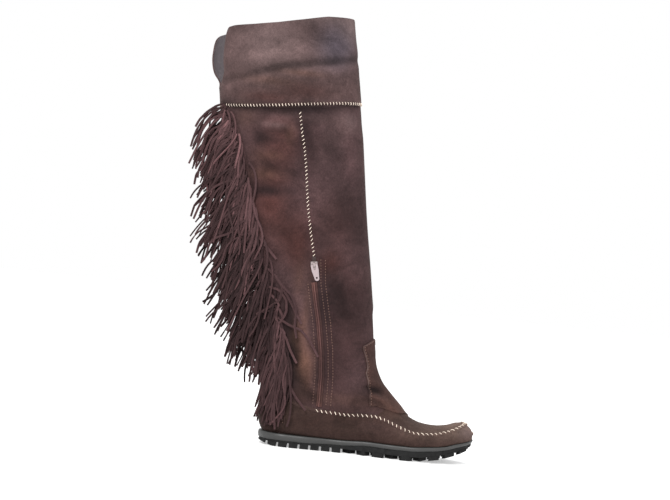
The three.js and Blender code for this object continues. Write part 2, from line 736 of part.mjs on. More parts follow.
// A flat lock of the fringe along a path of points, wide in the side view and thin across the foot
function lock(path, width, thickness) {
  const points = [];
  const triangles = [];
  path.forEach((p, i) => {
    const a = path[Math.max(i - 1, 0)];
    const b = path[Math.min(i + 1, path.length - 1)];
    const along = b.clone().sub(a).normalize();
    const thin = new THREE.Vector3(0, 1, 0).addScaledVector(along, -along.y).normalize();
    const broad = along.clone().cross(thin);
    const end = i === path.length - 1 ? lockTaper : 1;
    for (const [u, v] of [[-1, -1], [1, -1], [1, 1], [-1, 1]]) {
      const corner = p.clone().addScaledVector(broad, (u * width * end) / 2);
      points.push(corner.addScaledVector(thin, (v * thickness) / 2));
    }
    if (i) {
      for (let c = 0; c < 4; c++) {
        const d = (c + 1) % 4;
        const base = 4 * (i - 1);
        triangles.push([base + c, base + d, base + 4 + d], [base + c, base + 4 + d, base + 4 + c]);
      }
    }
  });
  const last = points.length - 4;
  triangles.push([0, 2, 1], [0, 3, 2], [last, last + 1, last + 2], [last, last + 2, last + 3]);
  const made = solid(points, triangles);
  return made.volume() < 0 ? solid(points, triangles.map(([a, b, c]) => [a, c, b])) : made;
}

// A lock's path from its root: out and back over the shaft, then drooping under its own weight.
// sweep is how far back it ends and fall how far down, as shares of its length, and gather how much
// of its root's distance from the mid-plane it keeps.
function lockPath(root, side, length, sweep, fall, gather) {
  const start = onSkin(root[0], root[1], side, lockRise);
  const steps = 3;
  return Array.from({ length: steps + 1 }, (_, k) => {
    const t = k / steps;
    const back = sweep * length * Math.sin((t * Math.PI) / 2);
    const down = fall * length * ((1 - lockDroop) * t + lockDroop * t * t);
    const place = new THREE.Vector3(start.point.x - back, 0, start.point.z - down);
    const under = onSkin(place.x, place.z, side, lockRise);
    const gathered = Math.abs(start.point.y) * lerp(1, gather, t * t);
    place.y = side * Math.max(gathered, under ? Math.abs(under.point.y) : 0);
    return place;
  });
}

function fringe(side) {
  const edge = overlay(
    band(rootLine, bandWidth / 2, bandWidth / 2),
    overlayThickness + 2 * seamGap,
    side > 0 ? 0 : -far,
    side > 0 ? far : 0,
  );
  const locks = [];
  for (let k = 0; k < locksPerSide; k++) {
    const share = (k + 0.5) / locksPerSide;
    const wave = Math.sin(2.4 * k + side);
    const root = alongLine(rootLine, lerp(locksFrom, locksTo, share));
    const sweep = lerp(lockSweep, topLockSweep, share * share) + sweepWave * wave;
    const fall = lockFall - fallWave * wave;
    const shortened = k === locksPerSide - 1 ? topLockLength : 1;
    const length = fringeLength * (1 + lengthWave * Math.sin(3.7 * k)) * shortened;
    const path = lockPath(root, side, length, sweep, fall, lockGather + gatherWave * wave);
    locks.push(lock(path, lockWidth, lockThickness));
  }
  for (let k = 0; k < heelLocksPerSide; k++) {
    const root = alongLine(rootLine, lerp(heelLocksFrom, heelLocksTo, k / (heelLocksPerSide - 1)));
    const length = fringeLength * (heelLockLength + heelLockGrowth * k);
    const path = lockPath(root, side, length, heelLockSweep + heelLockFan * k, heelLockFall, 1);
    locks.push(lock(path, lockWidth * heelLockWidth, lockThickness));
  }
  const above = sidePrism([...shifted(cuffSeam, -seamGap), [far, 2 * far], [-far, 2 * far]]);
  const strands = union(locks).subtract(form(overlayThickness + 2 * seamGap));
  return largest(edge.add(strands).subtract(above));
}

function largest(made) {
  return made.decompose().sort((a, b) => b.volume() - a.volume())[0];
}

// Zip slider and pull, built at the origin: +Z out of the boot, +X down the zip

// The slider's arch from the side: places along the slider from its middle, as shares of its length,
// and heights over its face, as shares of the arch's inside height
const bridgeRows = [
  { along: -0.437, up: 0 },
  { along: -0.353, up: 1.206 },
  { along: -0.226, up: 1.412 },
  { along: 0.063, up: 1.412 },
  { along: 0.211, up: 1.118 },
  { along: 0.274, up: 0 },
  { along: 0.126, up: 0 },
  { along: 0.074, up: 0.912 },
  { along: 0.011, up: 1 },
  { along: -0.184, up: 1 },
  { along: -0.258, up: 0.853 },
  { along: -0.289, up: 0 },
];
const bridgeSink = 0.1; // how far the arch's feet run into the slider

const shapeOf = (points) => new THREE.Shape(points.map(([x, y]) => new THREE.Vector2(x, y)));
const mirrored = (points) => [...points.map(([x, y]) => [x, -y]), ...points.slice().reverse()];

function slider() {
  const half = sliderWidth / 2;
  const plan = shapeOf(
    mirrored([
      [-sliderLength / 2, half],
      [sliderLength * sliderShoulder, half],
      [sliderLength / 2, half * sliderNose],
    ]),
  );
  const body = new THREE.ExtrudeGeometry(plan, { depth: sliderThickness, bevelEnabled: false });
  const arch = shapeOf(bridgeRows.map(({ along, up }) => [along * sliderLength, up * bridgeRise]));
  const bridge = new THREE.ExtrudeGeometry(arch, { depth: bridgeWidth, bevelEnabled: false });
  bridge.rotateX(Math.PI / 2).translate(0, bridgeWidth / 2, sliderThickness - bridgeSink);
  return solidOf(body).add(solidOf(bridge));
}

const barRadius = pullThickness / 2;
const hingeX = -0.9; // the pull's bar, along the slider
const hingeZ = sliderThickness + bridgeRise / 2 + bridgeSink;

function pull() {
  const plate = shapeOf(
    mirrored([
      [-barRadius, pullWidth / 2],
      [pullLength * pullShoulder, pullWidth / 2],
      [pullLength - pullCorner, pullEndWidth / 2],
      [pullLength, pullEndWidth / 2 - pullCorner],
    ]),
  );
  const eye = [
    [barRadius, bridgeWidth],
    [pullEye, bridgeWidth * pullEyeTaper],
  ];
  const hole = new THREE.Path();
  hole.absarc(pullLength - pullHoleInset, 0, pullHoleRadius, 0, 2 * Math.PI);
  plate.holes.push(new THREE.Path(shapeOf(mirrored(eye)).getPoints()), hole);
  const geometry = new THREE.ExtrudeGeometry(plate, {
    depth: pullThickness,
    bevelEnabled: false,
    curveSegments: 6,
  });
  return solidOf(geometry.translate(0, 0, -pullThickness / 2));
}

// The zip's frame at the slider: a matrix that sets its +Z along the skin's normal and +X down the zip
const sliderPlace = 0.35; // along the zip's first part
const sliderAim = 0.6; // the place below it that it points to
function zipFrame() {
  const [seat, below] = [sliderPlace, sliderAim].map((share) =>
    onSkin(...alongLine(zipLine.slice(0, 2), share), -1, seamGap),
  );
  const down = below.point.clone().sub(seat.point);
  const out = seat.normal.clone().addScaledVector(down, -seat.normal.dot(down) / down.lengthSq());
  out.normalize();
  down.normalize();
  const across = out.clone().cross(down);
  return new THREE.Matrix4().makeBasis(down, across, out).setPosition(seat.point);
}

const materials = {
  suede: new THREE.MeshStandardMaterial({ color: 0x4a3230, roughness: 0.95 }),
  overlaySuede: new THREE.MeshStandardMaterial({ color: 0x4c3632, roughness: 0.95 }),
  fringe: new THREE.MeshStandardMaterial({ color: 0x3f2b2b, roughness: 0.95 }),
  band: new THREE.MeshStandardMaterial({ color: 0x4d4c4b, roughness: 0.7 }),
  tread: new THREE.MeshStandardMaterial({ color: 0x262626, roughness: 0.8 }),
  insole: new THREE.MeshStandardMaterial({ color: 0x9a7a5c, roughness: 0.9 }),
  zip: new THREE.MeshStandardMaterial({ color: 0x3a2420, roughness: 0.8 }),
  metal: new THREE.MeshStandardMaterial({ color: 0xd8d4d2, roughness: 0.3, metalness: 1 }),
};

// A named mesh from a solid
function piece(name, made, material) {
  const mesh = made.getMesh();
  const geometry = new THREE.BufferGeometry();
  const positions = new Float32Array(mesh.numVert * 3);
  for (let i = 0; i < mesh.numVert; i++) {
    for (let k = 0; k < 3; k++) positions[3 * i + k] = mesh.vertProperties[i * mesh.numProp + k];
  }
  geometry.setAttribute("position", new THREE.BufferAttribute(positions, 3));
  geometry.setIndex(new THREE.BufferAttribute(new Uint32Array(mesh.triVerts), 1));
  geometry.computeVertexNormals();
  const part = new THREE.Mesh(geometry, material);
  part.name = name;
  return part;
}

const boot = new THREE.Group();
boot.add(
  piece("outsole", outsole(), materials.tread),
  piece("midsole", midsole(), materials.band),
  piece("insole", insole(), materials.insole),
  piece("upper", upper(), materials.suede),
  piece("shaft", shaft(), materials.suede),
  piece("cuff", cuff(), materials.suede),
  piece("moccasin_seam", mocSeamRidge(), materials.overlaySuede),
  piece("ankle_overlay", ankleOverlay(), materials.overlaySuede),
  piece("heel_counter", heelCounter(), materials.overlaySuede),
  piece("fringe_inner", fringe(-1), materials.fringe),
  piece("fringe_outer", fringe(1), materials.fringe),
  piece("zip_tape", zipTape(), materials.zip),
  piece("zip_flap", zipFlap(), materials.overlaySuede),
);

const frame = zipFrame();
const sliderMesh = piece("zip_slider", slider(), materials.metal);
sliderMesh.applyMatrix4(frame);
const pullMesh = piece("zip_pull", pull(), materials.metal);
const turn = new THREE.Matrix4().makeRotationZ(radians(pullTurn));
turn.multiply(new THREE.Matrix4().makeRotationY(radians(pullDip)));
const hinge = new THREE.Matrix4().makeTranslation(hingeX, 0, hingeZ);
pullMesh.applyMatrix4(frame.clone().multiply(hinge).multiply(turn));
boot.add(sliderMesh, pullMesh);

export default boot;
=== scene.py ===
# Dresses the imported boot: napped suede, stitches, zip, tread and a fringe of cut strips.
# Sizes are millimetres in the boot's own frame, +X to the toe, +Y outwards and +Z up.
import math

import bmesh
import bpy
import numpy as np
from mathutils import Matrix, Vector


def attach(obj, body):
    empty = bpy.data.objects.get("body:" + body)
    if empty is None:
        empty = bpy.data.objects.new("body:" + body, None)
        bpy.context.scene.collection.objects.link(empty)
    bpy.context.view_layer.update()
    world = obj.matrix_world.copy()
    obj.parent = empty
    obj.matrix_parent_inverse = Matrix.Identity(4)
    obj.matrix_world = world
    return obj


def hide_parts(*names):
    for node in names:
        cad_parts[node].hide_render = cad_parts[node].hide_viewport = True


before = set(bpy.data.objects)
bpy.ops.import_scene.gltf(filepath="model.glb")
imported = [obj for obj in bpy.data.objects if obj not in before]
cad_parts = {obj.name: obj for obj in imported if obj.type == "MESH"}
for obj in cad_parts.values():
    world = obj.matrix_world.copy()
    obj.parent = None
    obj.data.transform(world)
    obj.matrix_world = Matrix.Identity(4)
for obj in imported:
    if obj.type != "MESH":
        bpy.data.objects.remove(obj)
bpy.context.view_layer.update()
MM = 0.001
BOOT = "boot"
SIDES = ((-1, "inner"), (1, "outer"))

# Driving sizes, the same as the solids'
SOLE_LENGTH = 252
BALL_WIDTH = 89
HEEL_WIDTH = 65
HEEL_RADIUS = 33
TOE_RADIUS = 84
HEEL_TO_ORIGIN = 32
HEEL_STACK = 15.5
BALL_STACK = 16.5
TOE_STACK = 10
HEEL_BAND = 8
BALL_BAND = 5
TOE_BAND = 3.5
TOE_SPRING = 20
SPRING_START = 0.69
INSTEP_HEIGHT = 91.5
SHAFT_HEIGHT = 394.5
ANKLE_DEPTH = 123
TOP_DEPTH = 150
ANKLE_WIDTH = 65
TOP_WIDTH = 86
SHAFT_LEAN = 66
SECTION_DROP = 62
ANKLE_FRONT = 0.509
SQUARENESS = 2.2
FAR_FLAP_SPREAD = 10.5
NEAR_FLAP_SPREAD = 6
SLIT_DEPTH = 90
SLIT_WIDTH = 24
SLIT_FOOT_WIDTH = 13
CUFF_STEP = 1.1
WALL = 2
OVERLAY_THICKNESS = 1.4
SEAM_GAP = 0.3

# Sizes that the solids don't have
CORNER_RADIUS = 9
SECTION_RISE = 0.05 * SHAFT_HEIGHT
SLIT_ROUND = 0.06
RIM_DIP = 0.4
OVERLAY_SINK = 0.1
OVERLAY_DIP = 0.3
SIDE_FADE = 14
MOC_PITCH = 5.3
TOPSTITCH_PITCH = 3.3
TOPSTITCH_LENGTH = 1.3
TOPSTITCH_THICKNESS = 0.72

# Shades given as sRGB shares, for suede where no other piece is named
SUEDE = (0.258, 0.192, 0.195)
DARK = (0.13, 0.095, 0.1)
RED = (0.258, 0.146, 0.131)
TAN = (0.36, 0.257, 0.216)
# A painted bluish sheen in the painted shade of the cuff's front end
BLUE = (0.28, 0.262, 0.295)
SHAFT_LOW = (0.2, 0.138, 0.138)
CUFF_PALE = (0.45, 0.385, 0.38)
CUFF_WARM = (0.3, 0.235, 0.232)
FOOT_PALE = (0.46, 0.385, 0.345)
FOOT_DARK = (0.18, 0.126, 0.114)
FOOT = (0.235, 0.178, 0.162)
OVERLAY = (0.27, 0.195, 0.18)
FRINGE_SHADE = (0.238, 0.172, 0.175)
WELT_SHADE = (0.4, 0.275, 0.26)
CREAM = (0.98, 0.91, 0.84)
BROWN_THREAD = (0.48, 0.355, 0.305)
LINING_SHADE = (0.45, 0.415, 0.43)
BAND_SHADE = (0.2, 0.2, 0.197)
TREAD_SHADE = (0.06, 0.06, 0.06)
EDGE_SHADE = (0.37, 0.3, 0.285)
RIDGE_SHADE = (0.29, 0.225, 0.21)
FELT_SHADE = (0.62, 0.53, 0.44)
CLOTH_SHADE = (0.2, 0.14, 0.13)
PULL_SHADE = (0.72, 0.66, 0.67)
# The slider's plating, painted darker than the pull's as painted shade under the pull
SLIDER_SHADE = (0.66, 0.61, 0.61)
FLOOR_SHADE = (0.97, 0.97, 0.97)

# How far the shades are held back for the lamps' strength
LIGHT_SHARE = 0.76


def x_at(share):
    return share * SOLE_LENGTH - HEEL_TO_ORIGIN


def smooth(value):
    value = np.clip(value, 0, 1)
    return value * value * (3 - 2 * value)


def unit(vectors):
    return vectors / np.maximum(np.linalg.norm(vectors, axis=-1, keepdims=True), 1e-9)


def run_of(points):
    """How far along its path each point lies."""
    return np.concatenate([[0], np.cumsum(np.linalg.norm(np.diff(points, axis=0), axis=1))])


def relax(values, times=1):
    """Evens out a row of values in place between its ends."""
    for _ in range(times):
        values[1:-1] = (values[:-2] + values[1:-1] * 2 + values[2:]) / 4


# The sole's plan and thickness along the foot, as in the solids
PLAN_AT = (0, 0.2, 0.34, 0.48, 0.64, 0.76, 0.9, 1)
PLAN_BALL = (0, 0, 0.05, 0.55, 1, 1, 0.99, 0.97)
PLAN_HEEL = (1, 1, 0.92, 0.4, 0, 0, 0, 0)
PLAN_BEND = (0, 0.01, 0.045, 0.056, 0.034, 0.006, -0.034, -0.046)
STACK_AT = (0, 0.22, 0.36, 0.52, 0.76, 0.9, 1)
STACK_HEEL = (1, 0.96, 0.5, 0, 0, 0, 0)
STACK_BALL = (0, 0, 0.42, 1, 1, 0.5, 0)
STACK_TOE = (0, 0, 0, 0, 0, 0.55, 1)


def eased(places, values, at):
    at = np.clip(np.asarray(at, float), places[0], places[-1])
    places = np.asarray(places)
    values = np.asarray(values)
    row = np.clip(np.searchsorted(places, at) - 1, 0, len(places) - 2)
    share = smooth((at - places[row]) / (places[row + 1] - places[row]))
    return values[row] * (1 - share) + values[row + 1] * share


def plan_half(share, inset=0.0):
    place = np.clip(np.asarray(share, float) * SOLE_LENGTH, inset, SOLE_LENGTH - inset)
    heel = np.maximum(0, 1 - (place - inset) / (HEEL_RADIUS - inset))
    toe = np.maximum(0, 1 - (SOLE_LENGTH - inset - place) / (TOE_RADIUS - inset))
    body = eased(PLAN_AT, PLAN_BALL, share) * BALL_WIDTH + eased(PLAN_AT, PLAN_HEEL, share) * HEEL_WIDTH
    return (body / 2 - inset) * np.sqrt(1 - heel**2) * np.sqrt(1 - toe**2)


def plan_bend(share):
    return eased(PLAN_AT, PLAN_BEND, share) * BALL_WIDTH


def stack_of(share, heel, ball, toe):
    parts = ((STACK_HEEL, heel), (STACK_BALL, ball), (STACK_TOE, toe))
    return sum(eased(STACK_AT, values, share) * size for values, size in parts)


def spring(share):
    return TOE_SPRING * np.clip((np.asarray(share, float) - SPRING_START) / (1 - SPRING_START), 0, 1) ** 2


def feather_height(share):
    return spring(share) + stack_of(share, HEEL_STACK, BALL_STACK, TOE_STACK)


def band_bottom(share):
    return feather_height(share) - stack_of(share, HEEL_BAND, BALL_BAND, TOE_BAND)


# The foot's sections, from toe to ankle: from, low, to, high, foot, leg, mid, round, crown
FOOT_ROWS = (
    (0.9968, -0.012, 0.9968, 0.07, 1, 0, 0.42, 3.2, 2.2),
    (0.988, -0.024, 0.988, 0.135, 1, 0, 0.42, 3.8, 2.3),
    (0.972, -0.033, 0.972, 0.19, 1, 0, 0.42, 4.6, 2.4),
    (0.948, -0.033, 0.948, 0.232, 1, 0, 0.42, 5, 2.45),
    (0.917, -0.033, 0.917, 0.248, 1, 0, 0.42, 5, 2.5),
    (0.877, -0.033, 0.877, 0.238, 1, 0, 0.41, 5, 2.5),
    (0.829, -0.033, 0.829, 0.236, 1, 0, 0.4, 5, 2.5),
    (0.778, -0.033, 0.778, 0.254, 1, 0, 0.38, 5, 2.4),
    (0.726, -0.033, 0.73, 0.298, 1, 0, 0.36, 5, 2.25),
    (0.665, -0.033, 0.684, 0.366, 1, 0, 0.34, 5, 2.1),
    (0.592, -0.033, 0.65, 0.464, 1, 0, 0.32, 5, 2),
    (0.512, -0.033, 0.613, 0.565, 1, 0, 0.3, 5, 1.95),
    (0.422, -0.033, 0.581, 0.655, 1.02, 0, 0.29, 5, 1.95),
    (0.326, -0.033, 0.553, 0.742, 1.02, 0.02, 0.28, 4.8, 2),
    (0.232, -0.033, 0.53, 0.85, 0.75, 0.28, 0.28, 4.3, 2.05),
    (0.145, -0.033, 0.514, 0.955, 0.5, 0.53, 0.28, 3.6, 2.1),
    (0.075, -0.033, 0.507, 1.038, 0.25, 0.78, 0.29, 3, 2.15),
    (0.028, 0, 0.503, 1.113, 0, 1.02, 0.3, 2.75, 2.2),
    (0.006, 0.077, 0.4985, 1.18, 0, 1.01, 0.31, 2.6, 2.2),
    (-0.003, 0.186, 0.4945, 1.251, 0, 1, 0.33, 2.5, 2.2),
    (-0.004, 0.328, 0.49, 1.328, 0, 0.99, 0.36, 2.4, 2.2),
    (0.002, 0.492, 0.486, 1.41, 0, 0.98, 0.4, 2.3, 2.2),
    (0.012, 0.667, 0.481, 1.503, 0, 0.975, 0.44, 2.25, 2.2),
    (0.023, 0.852, 0.476, 1.607, 0, 0.975, 0.47, 2.2, 2.2),
)
# The shaft's sections upwards: up, lean, ankle, top, drop, thin, wide, flare, near.
# The flare of the last five is larger than the solids'.
SHAFT_ROWS = (
    (0.163, 0.13, 0.9, 0.01, 1, 0.93, 0.04, 0, 0),
    (0.198, 0.167, 0.84, 0.06, 0.93, 0.86, 0.13, 0, 0),
    (0.24, 0.21, 0.74, 0.163, 0.86, 0.74, 0.25, 0, 0),
    (0.285, 0.256, 0.6, 0.313, 0.79, 0.6, 0.39, 0, 0),
    (0.336, 0.31, 0.44, 0.49, 0.71, 0.44, 0.55, 0, 0),
    (0.392, 0.37, 0.28, 0.668, 0.64, 0.28, 0.7, 0, 0),
    (0.457, 0.436, 0.14, 0.83, 0.57, 0.14, 0.83, 0, 0),
    (0.523, 0.497, 0.05, 0.953, 0.51, 0.05, 0.91, 0, 0),
    (0.588, 0.556, 0, 1.036, 0.45, 0, 0.95, 0, 0),
    (0.656, 0.62, 0, 1.072, 0.39, 0, 0.97, 0, 0),
    (0.704, 0.68, 0, 1.086, 0.35, 0, 0.98, 0, 0),
    (0.766, 0.742, 0, 1.09, 0.3, 0, 0.99, 0, 0),
    (0.834, 0.81, 0, 1.083, 0.33, 0, 0.99, 0.1, 0.35),
    (0.87, 0.85, 0, 1.078, 0.35, 0, 1, 0.7, 1),
    (0.91, 0.895, 0, 1.065, 0.38, 0, 1, 0.96, 0.85),
    (0.95, 0.945, 0, 1.035, 0.4, 0, 1, 1.12, 0.5),
    (1, 1, 0, 1, 0.42, 0, 1, 1.2, 0.2),
    (1.05, 1.04, 0, 0.985, 0.42, 0, 1, 1.2, 0),
)


def section_table():
    """One row a section: back x, z, front x, z, half width, bend, mid, round, crown, flare, near."""
    rows = []
    for start, low, to, high, foot, leg, mid, lower, crown in FOOT_ROWS:
        back = (x_at(start), float(feather_height(start)) + low * INSTEP_HEIGHT)
        front = (x_at(to), float(feather_height(to)) + high * INSTEP_HEIGHT)
        half = foot * float(plan_half(start)) + leg * ANKLE_WIDTH / 2
        bend = float(plan_bend(start)) * min(1, foot + 0.3)
        rows.append((*back, *front, half, bend, mid, lower, crown, 0, 0))
    for up, lean, ankle, top, drop, thin, wide, flare, near in SHAFT_ROWS:
        x = x_at(ANKLE_FRONT) - lean * SHAFT_LEAN
        z = HEEL_STACK + INSTEP_HEIGHT + up * SHAFT_HEIGHT
        depth = ankle * ANKLE_DEPTH + top * TOP_DEPTH
        half = (thin * ANKLE_WIDTH + wide * TOP_WIDTH) / 2
        drop_z = z - drop * SECTION_DROP
        rows.append((x - depth, drop_z, x, z, half, 0, 0.5, SQUARENESS, SQUARENESS, flare, near))
    return np.array(rows, float)


SECTIONS = section_table()
LAST = len(SECTIONS) - 1


def section_at(t):
    """The sections' values at places t between them, on a smooth curve through each column."""
    t = np.clip(np.asarray(t, float), 0, LAST)
    row = np.clip(t.astype(int), 0, LAST - 1)
    u = (t - row)[..., None]
    before = SECTIONS[np.maximum(row - 1, 0)]
    low = SECTIONS[row]
    high = SECTIONS[row + 1]
    after = SECTIONS[np.minimum(row + 2, LAST)]
    curve = 2 * low + (high - before) * u + (2 * before - 5 * low + 4 * high - after) * u**2
    curve = curve + (3 * low - before - 3 * high + after) * u**3
    return np.moveaxis(curve / 2, -1, 0)


def skin(t, turn):
    """Points of the boot's skin at sections t and turns from the back or underside over +Y to the top."""
    bx, bz, fx, fz, half, bend, mid, lower, crown, flare, near = section_at(t)
    cosine = np.cos(turn)
    sine = np.sin(turn)
    below = cosine > 0
    power = 2 / np.where(below, lower, crown)
    reach = np.abs(cosine) ** power
    share = np.where(below, mid * (1 - reach), mid + (1 - mid) * reach)
    width = half * np.abs(sine) ** power
    side = np.sign(sine)
    corner = np.where(side > 0, flare * FAR_FLAP_SPREAD, near * NEAR_FLAP_SPREAD)
    away = corner * side * np.maximum(0, cosine) ** 3
    x = bx + (fx - bx) * share - away
    z = bz + (fz - bz) * share
    return np.stack([x, bend + side * width, z], -1)


def skin_normal(t, turn):
    """Unit normals of the skin, which NORMAL_SIGN turns outwards."""
    step = 0.02
    along = skin(t + step, turn) - skin(t - step, turn)
    across = skin(t, turn + step) - skin(t, turn - step)
    return unit(np.cross(along, across))


NORMAL_SIGN = float(np.sign(skin_normal(30.0, math.pi / 2)[1]))

LINE_T = np.linspace(0, LAST, 40 * LAST + 1)
LINE = section_at(LINE_T)


def side_to_skin(x, z, side):
    """The (t, turn) of the skin over a place in the side view, on one side. side is +1 or -1."""
    bx, bz, fx, fz = LINE[:4]
    cross = (fx - bx) * (z - bz) - (fz - bz) * (x - bx)
    length = (fx - bx) ** 2 + (fz - bz) ** 2
    share = ((x - bx) * (fx - bx) + (z - bz) * (fz - bz)) / length
    inside = (share > -0.3) & (share < 1.3)
    score = np.where(inside, np.abs(cross) / np.sqrt(length), 1e6)
    best = int(np.argmin(score))
    mid, lower, crown = LINE[6:9, best]
    place = float(np.clip(share[best], 0.0005, 0.9995))
    if place < mid:
        cosine = (1 - place / mid) ** (lower / 2)
    else:
        cosine = -(((place - mid) / (1 - mid)) ** (crown / 2))
    turn = math.acos(max(-1, min(1, cosine)))
    return LINE_T[best], side * turn


# Creases, folds and hollows: side-view points, half width, height (minus is a trough)
# and the side, -1 for the inner one, 1 for the outer one and 0 for both
CREASES = (
    (((-114, 419), (-94, 424), (-74, 431), (-45, 441), (-16, 446), (13, 452), (40, 459)), 5, -1.3, 0),
    (((-62, 435), (-45, 441), (-16, 446), (13, 452), (40, 459)), 6, -1.3, 0),
    (((-110, 411), (-74, 422), (-45, 432), (-16, 437), (13, 443), (36, 449)), 7, 1.8, 0),
    (((-80, 450), (-40, 456), (-10, 462), (20, 468), (38, 470)), 12, 1.6, 0),
    (((-110, 392), (-77, 386), (-40, 388), (0, 394), (44, 402)), 5, -1.3, 0),
    (((-100, 387), (-77, 388.5), (-40, 391), (0, 397), (44, 404.5)), 2.6, -2, 0),
    (((-24, 500), (-8, 478), (4, 456)), 12, -1.1, -1),
    (((6, 490), (18, 470), (26, 458)), 9, 0.8, -1),
    (((-60, 372), (-48, 380), (-34, 378), (-24, 366)), 7, 1.8, -1),
    (((-66, 352), (-50, 366), (-36, 366), (-26, 352)), 6, -1.6, -1),
    (((-58, 326), (-40, 322), (-20, 318)), 6, -1.5, -1),
    (((-50, 312), (-34, 308), (-14, 306)), 7, 1.2, -1),
    (((-50, 258), (-34, 250), (-20, 250)), 9, -1.2, -1),
    (((-14, 372), (-8, 360), (-2, 340)), 8, -1.8, -1),
    (((30, 388), (40, 360), (46, 330)), 10, 1.4, -1),
    (((20, 352), (34, 322), (40, 296)), 12, -1.2, -1),
    (((40, 250), (52, 222), (62, 196)), 12, 1, 0),
    (((34, 206), (44, 186), (54, 160)), 11, -1.3, -1),
    (((52, 150), (60, 128), (66, 108)), 9, 1.1, -1),
    (((-2, 176), (4, 152), (12, 128), (18, 104)), 8, 2.4, -1),
    (((-12, 164), (-6, 142), (0, 122), (2, 104)), 8, -3.2, -1),
    (((0, 102), (6, 86), (16, 72), (26, 62)), 7, -2.2, -1),
    (((16, 120), (22, 96), (26, 72)), 6, 1.3, -1),
    (((90, 79), (98, 76), (107, 73)), 3.5, -2.4, 0),
    (((90, 87), (97, 84), (103, 82)), 4, 1.3, 0),
    (((88, 70), (98, 67), (110, 64)), 4.5, 1.1, 0),
    (((84, 72), (98, 64), (112, 60)), 4, -1.3, 0),
    (((100, 70), (112, 62), (124, 56)), 4, 1, 0),
    (((78, 122), (86, 118), (93, 114)), 5, -1.2, 0),
    (((126, 44), (140, 38), (152, 36)), 6, -1, 0),
    (((60, 34), (84, 30), (108, 32)), 8, -1.2, 0),
    (((20, 30), (40, 26), (60, 24)), 7, 0.9, 0),
    (((112, 30), (130, 28), (150, 30)), 7, 0.8, 0),
)
# The leather's slow swell: waves along x and z, phase and height
SWELLS = (
    (0.031, 0.019, 0.4, 0.9), (0.052, 0.043, 1.7, 0.6), (0.024, 0.067, 2.9, 0.5), (0.09, 0.07, 0.8, 0.25),
)


# The relief fades out over these sizes: down to the sole, and to the front's and back's ridges
CALM_BELOW = 24
CALM_OVER = 26
RIDGE_CALM = 18


def relief(points):
    """How far the skin stands out at points, in mm, from the creases and the leather's slow swell."""
    x, y, z = np.moveaxis(points, -1, 0)
    out = np.zeros(x.shape)
    for line, width, height, side in CREASES:
        best = np.full(x.shape, 1e9)
        for (ax, az), (bx, bz) in zip(line, line[1:]):
            dx, dz = bx - ax, bz - az
            held = np.clip(((x - ax) * dx + (z - az) * dz) / (dx * dx + dz * dz), 0, 1)
            best = np.minimum(best, np.hypot(x - ax - held * dx, z - az - held * dz))
        swell = height * np.exp(-((best / width) ** 2) * 1.6)
        if side:
            swell = swell * smooth(side * y / SIDE_FADE)
        out = out + swell
    for kx, kz, phase, height in SWELLS:
        out = out + height * np.sin(kx * x + 1.3 * phase + 0.02 * y) * np.sin(kz * z + phase + 0.015 * y)
    firm = 0.35 + 0.65 * smooth((z - CALM_BELOW) / CALM_OVER)
    edge = 0.25 + 0.75 * smooth(np.abs(y) / RIDGE_CALM)
    return out * firm * edge


def place(t, turn, offset=0.0):
    """Points of the finished skin, with its creases, moved out by an offset."""
    points = skin(t, turn)
    normals = skin_normal(t, turn) * NORMAL_SIGN
    rise = relief(points) + offset
    return points + normals * np.asarray(rise)[..., None], normals


# Side lines of the seams: foot lines as sole shares and instep shares, shaft lines as shaft shares
def foot_line(rows):
    return [(x_at(at), float(feather_height(at)) + up * INSTEP_HEIGHT) for at, up in rows]


def shaft_point(up, across):
    z = HEEL_STACK + INSTEP_HEIGHT + up * SHAFT_HEIGHT
    xs = LINE[0] + (LINE[2] - LINE[0]) * across
    zs = LINE[1] + (LINE[3] - LINE[1]) * across
    high = int(np.argmax(zs >= z)) if zs[-1] >= z else len(zs) - 1
    share = (z - zs[high - 1]) / (zs[high] - zs[high - 1])
    return (float(xs[high - 1] + (xs[high] - xs[high - 1]) * share), z)


def shaft_line(rows):
    return [shaft_point(up, across) for up, across in rows]


MOC_SEAM = foot_line(
    (
        (0.13, 0.43), (0.2, 0.375), (0.27, 0.345), (0.34, 0.34), (0.41, 0.325), (0.47, 0.325),
        (0.53, 0.325), (0.575, 0.3), (0.625, 0.255), (0.67, 0.21), (0.72, 0.17), (0.775, 0.16),
        (0.83, 0.165), (0.885, 0.185), (0.925, 0.203), (0.95, 0.22), (0.968, 0.265), (0.98, 0.32),
    )
)
JOIN_STEPS = 7
INSTEP_JOIN = foot_line(((0.6, 0.48), (0.66, 0.56), (0.72, 0.62)))
COUNTER_EDGE = foot_line(((0.128, -0.1), (0.124, 0.12), (0.116, 0.35), (0.112, 0.62)))
OVERLAY_BACK = foot_line(
    (
        (0.62, 0.4), (0.535, 0.455), (0.502, 0.44), (0.494, 0.64), (0.467, 0.86), (0.471, 0.93),
        (0.459, 1.05), (0.441, 1.2), (0.5, 1.3), (0.56, 1.37),
    )
)
ROOT_LINE = shaft_line(
    (
        (-0.07, 0.185), (0, 0.16), (0.08, 0.1), (0.18, 0.1), (0.29, 0.11), (0.4, 0.12), (0.52, 0.13),
        (0.6, 0.125), (0.68, 0.095), (0.715, 0.03),
    )
)
CUFF_SEAM = shaft_line(
    ((0.716, -0.03), (0.716, 0.06), (0.72, 0.24), (0.727, 0.4), (0.738, 0.6), (0.75, 0.8), (0.762, 1.02))
)
COLLAR_EDGE = shaft_line(
    (
        (0.915, -0.1), (0.937, 0), (0.948, 0.03), (0.953, 0.08), (0.96, 0.24), (0.971, 0.42),
        (0.986, 0.6), (1.004, 0.8), (1.009, 0.93), (1.012, 1.02),
    )
)
ZIP_LINE = foot_line(
    (
        (0.176, 2.29), (0.188, 1.966), (0.209, 1.71), (0.23, 1.47), (0.253, 1.12), (0.267, 0.78),
        (0.27, 0.4),
    )
)
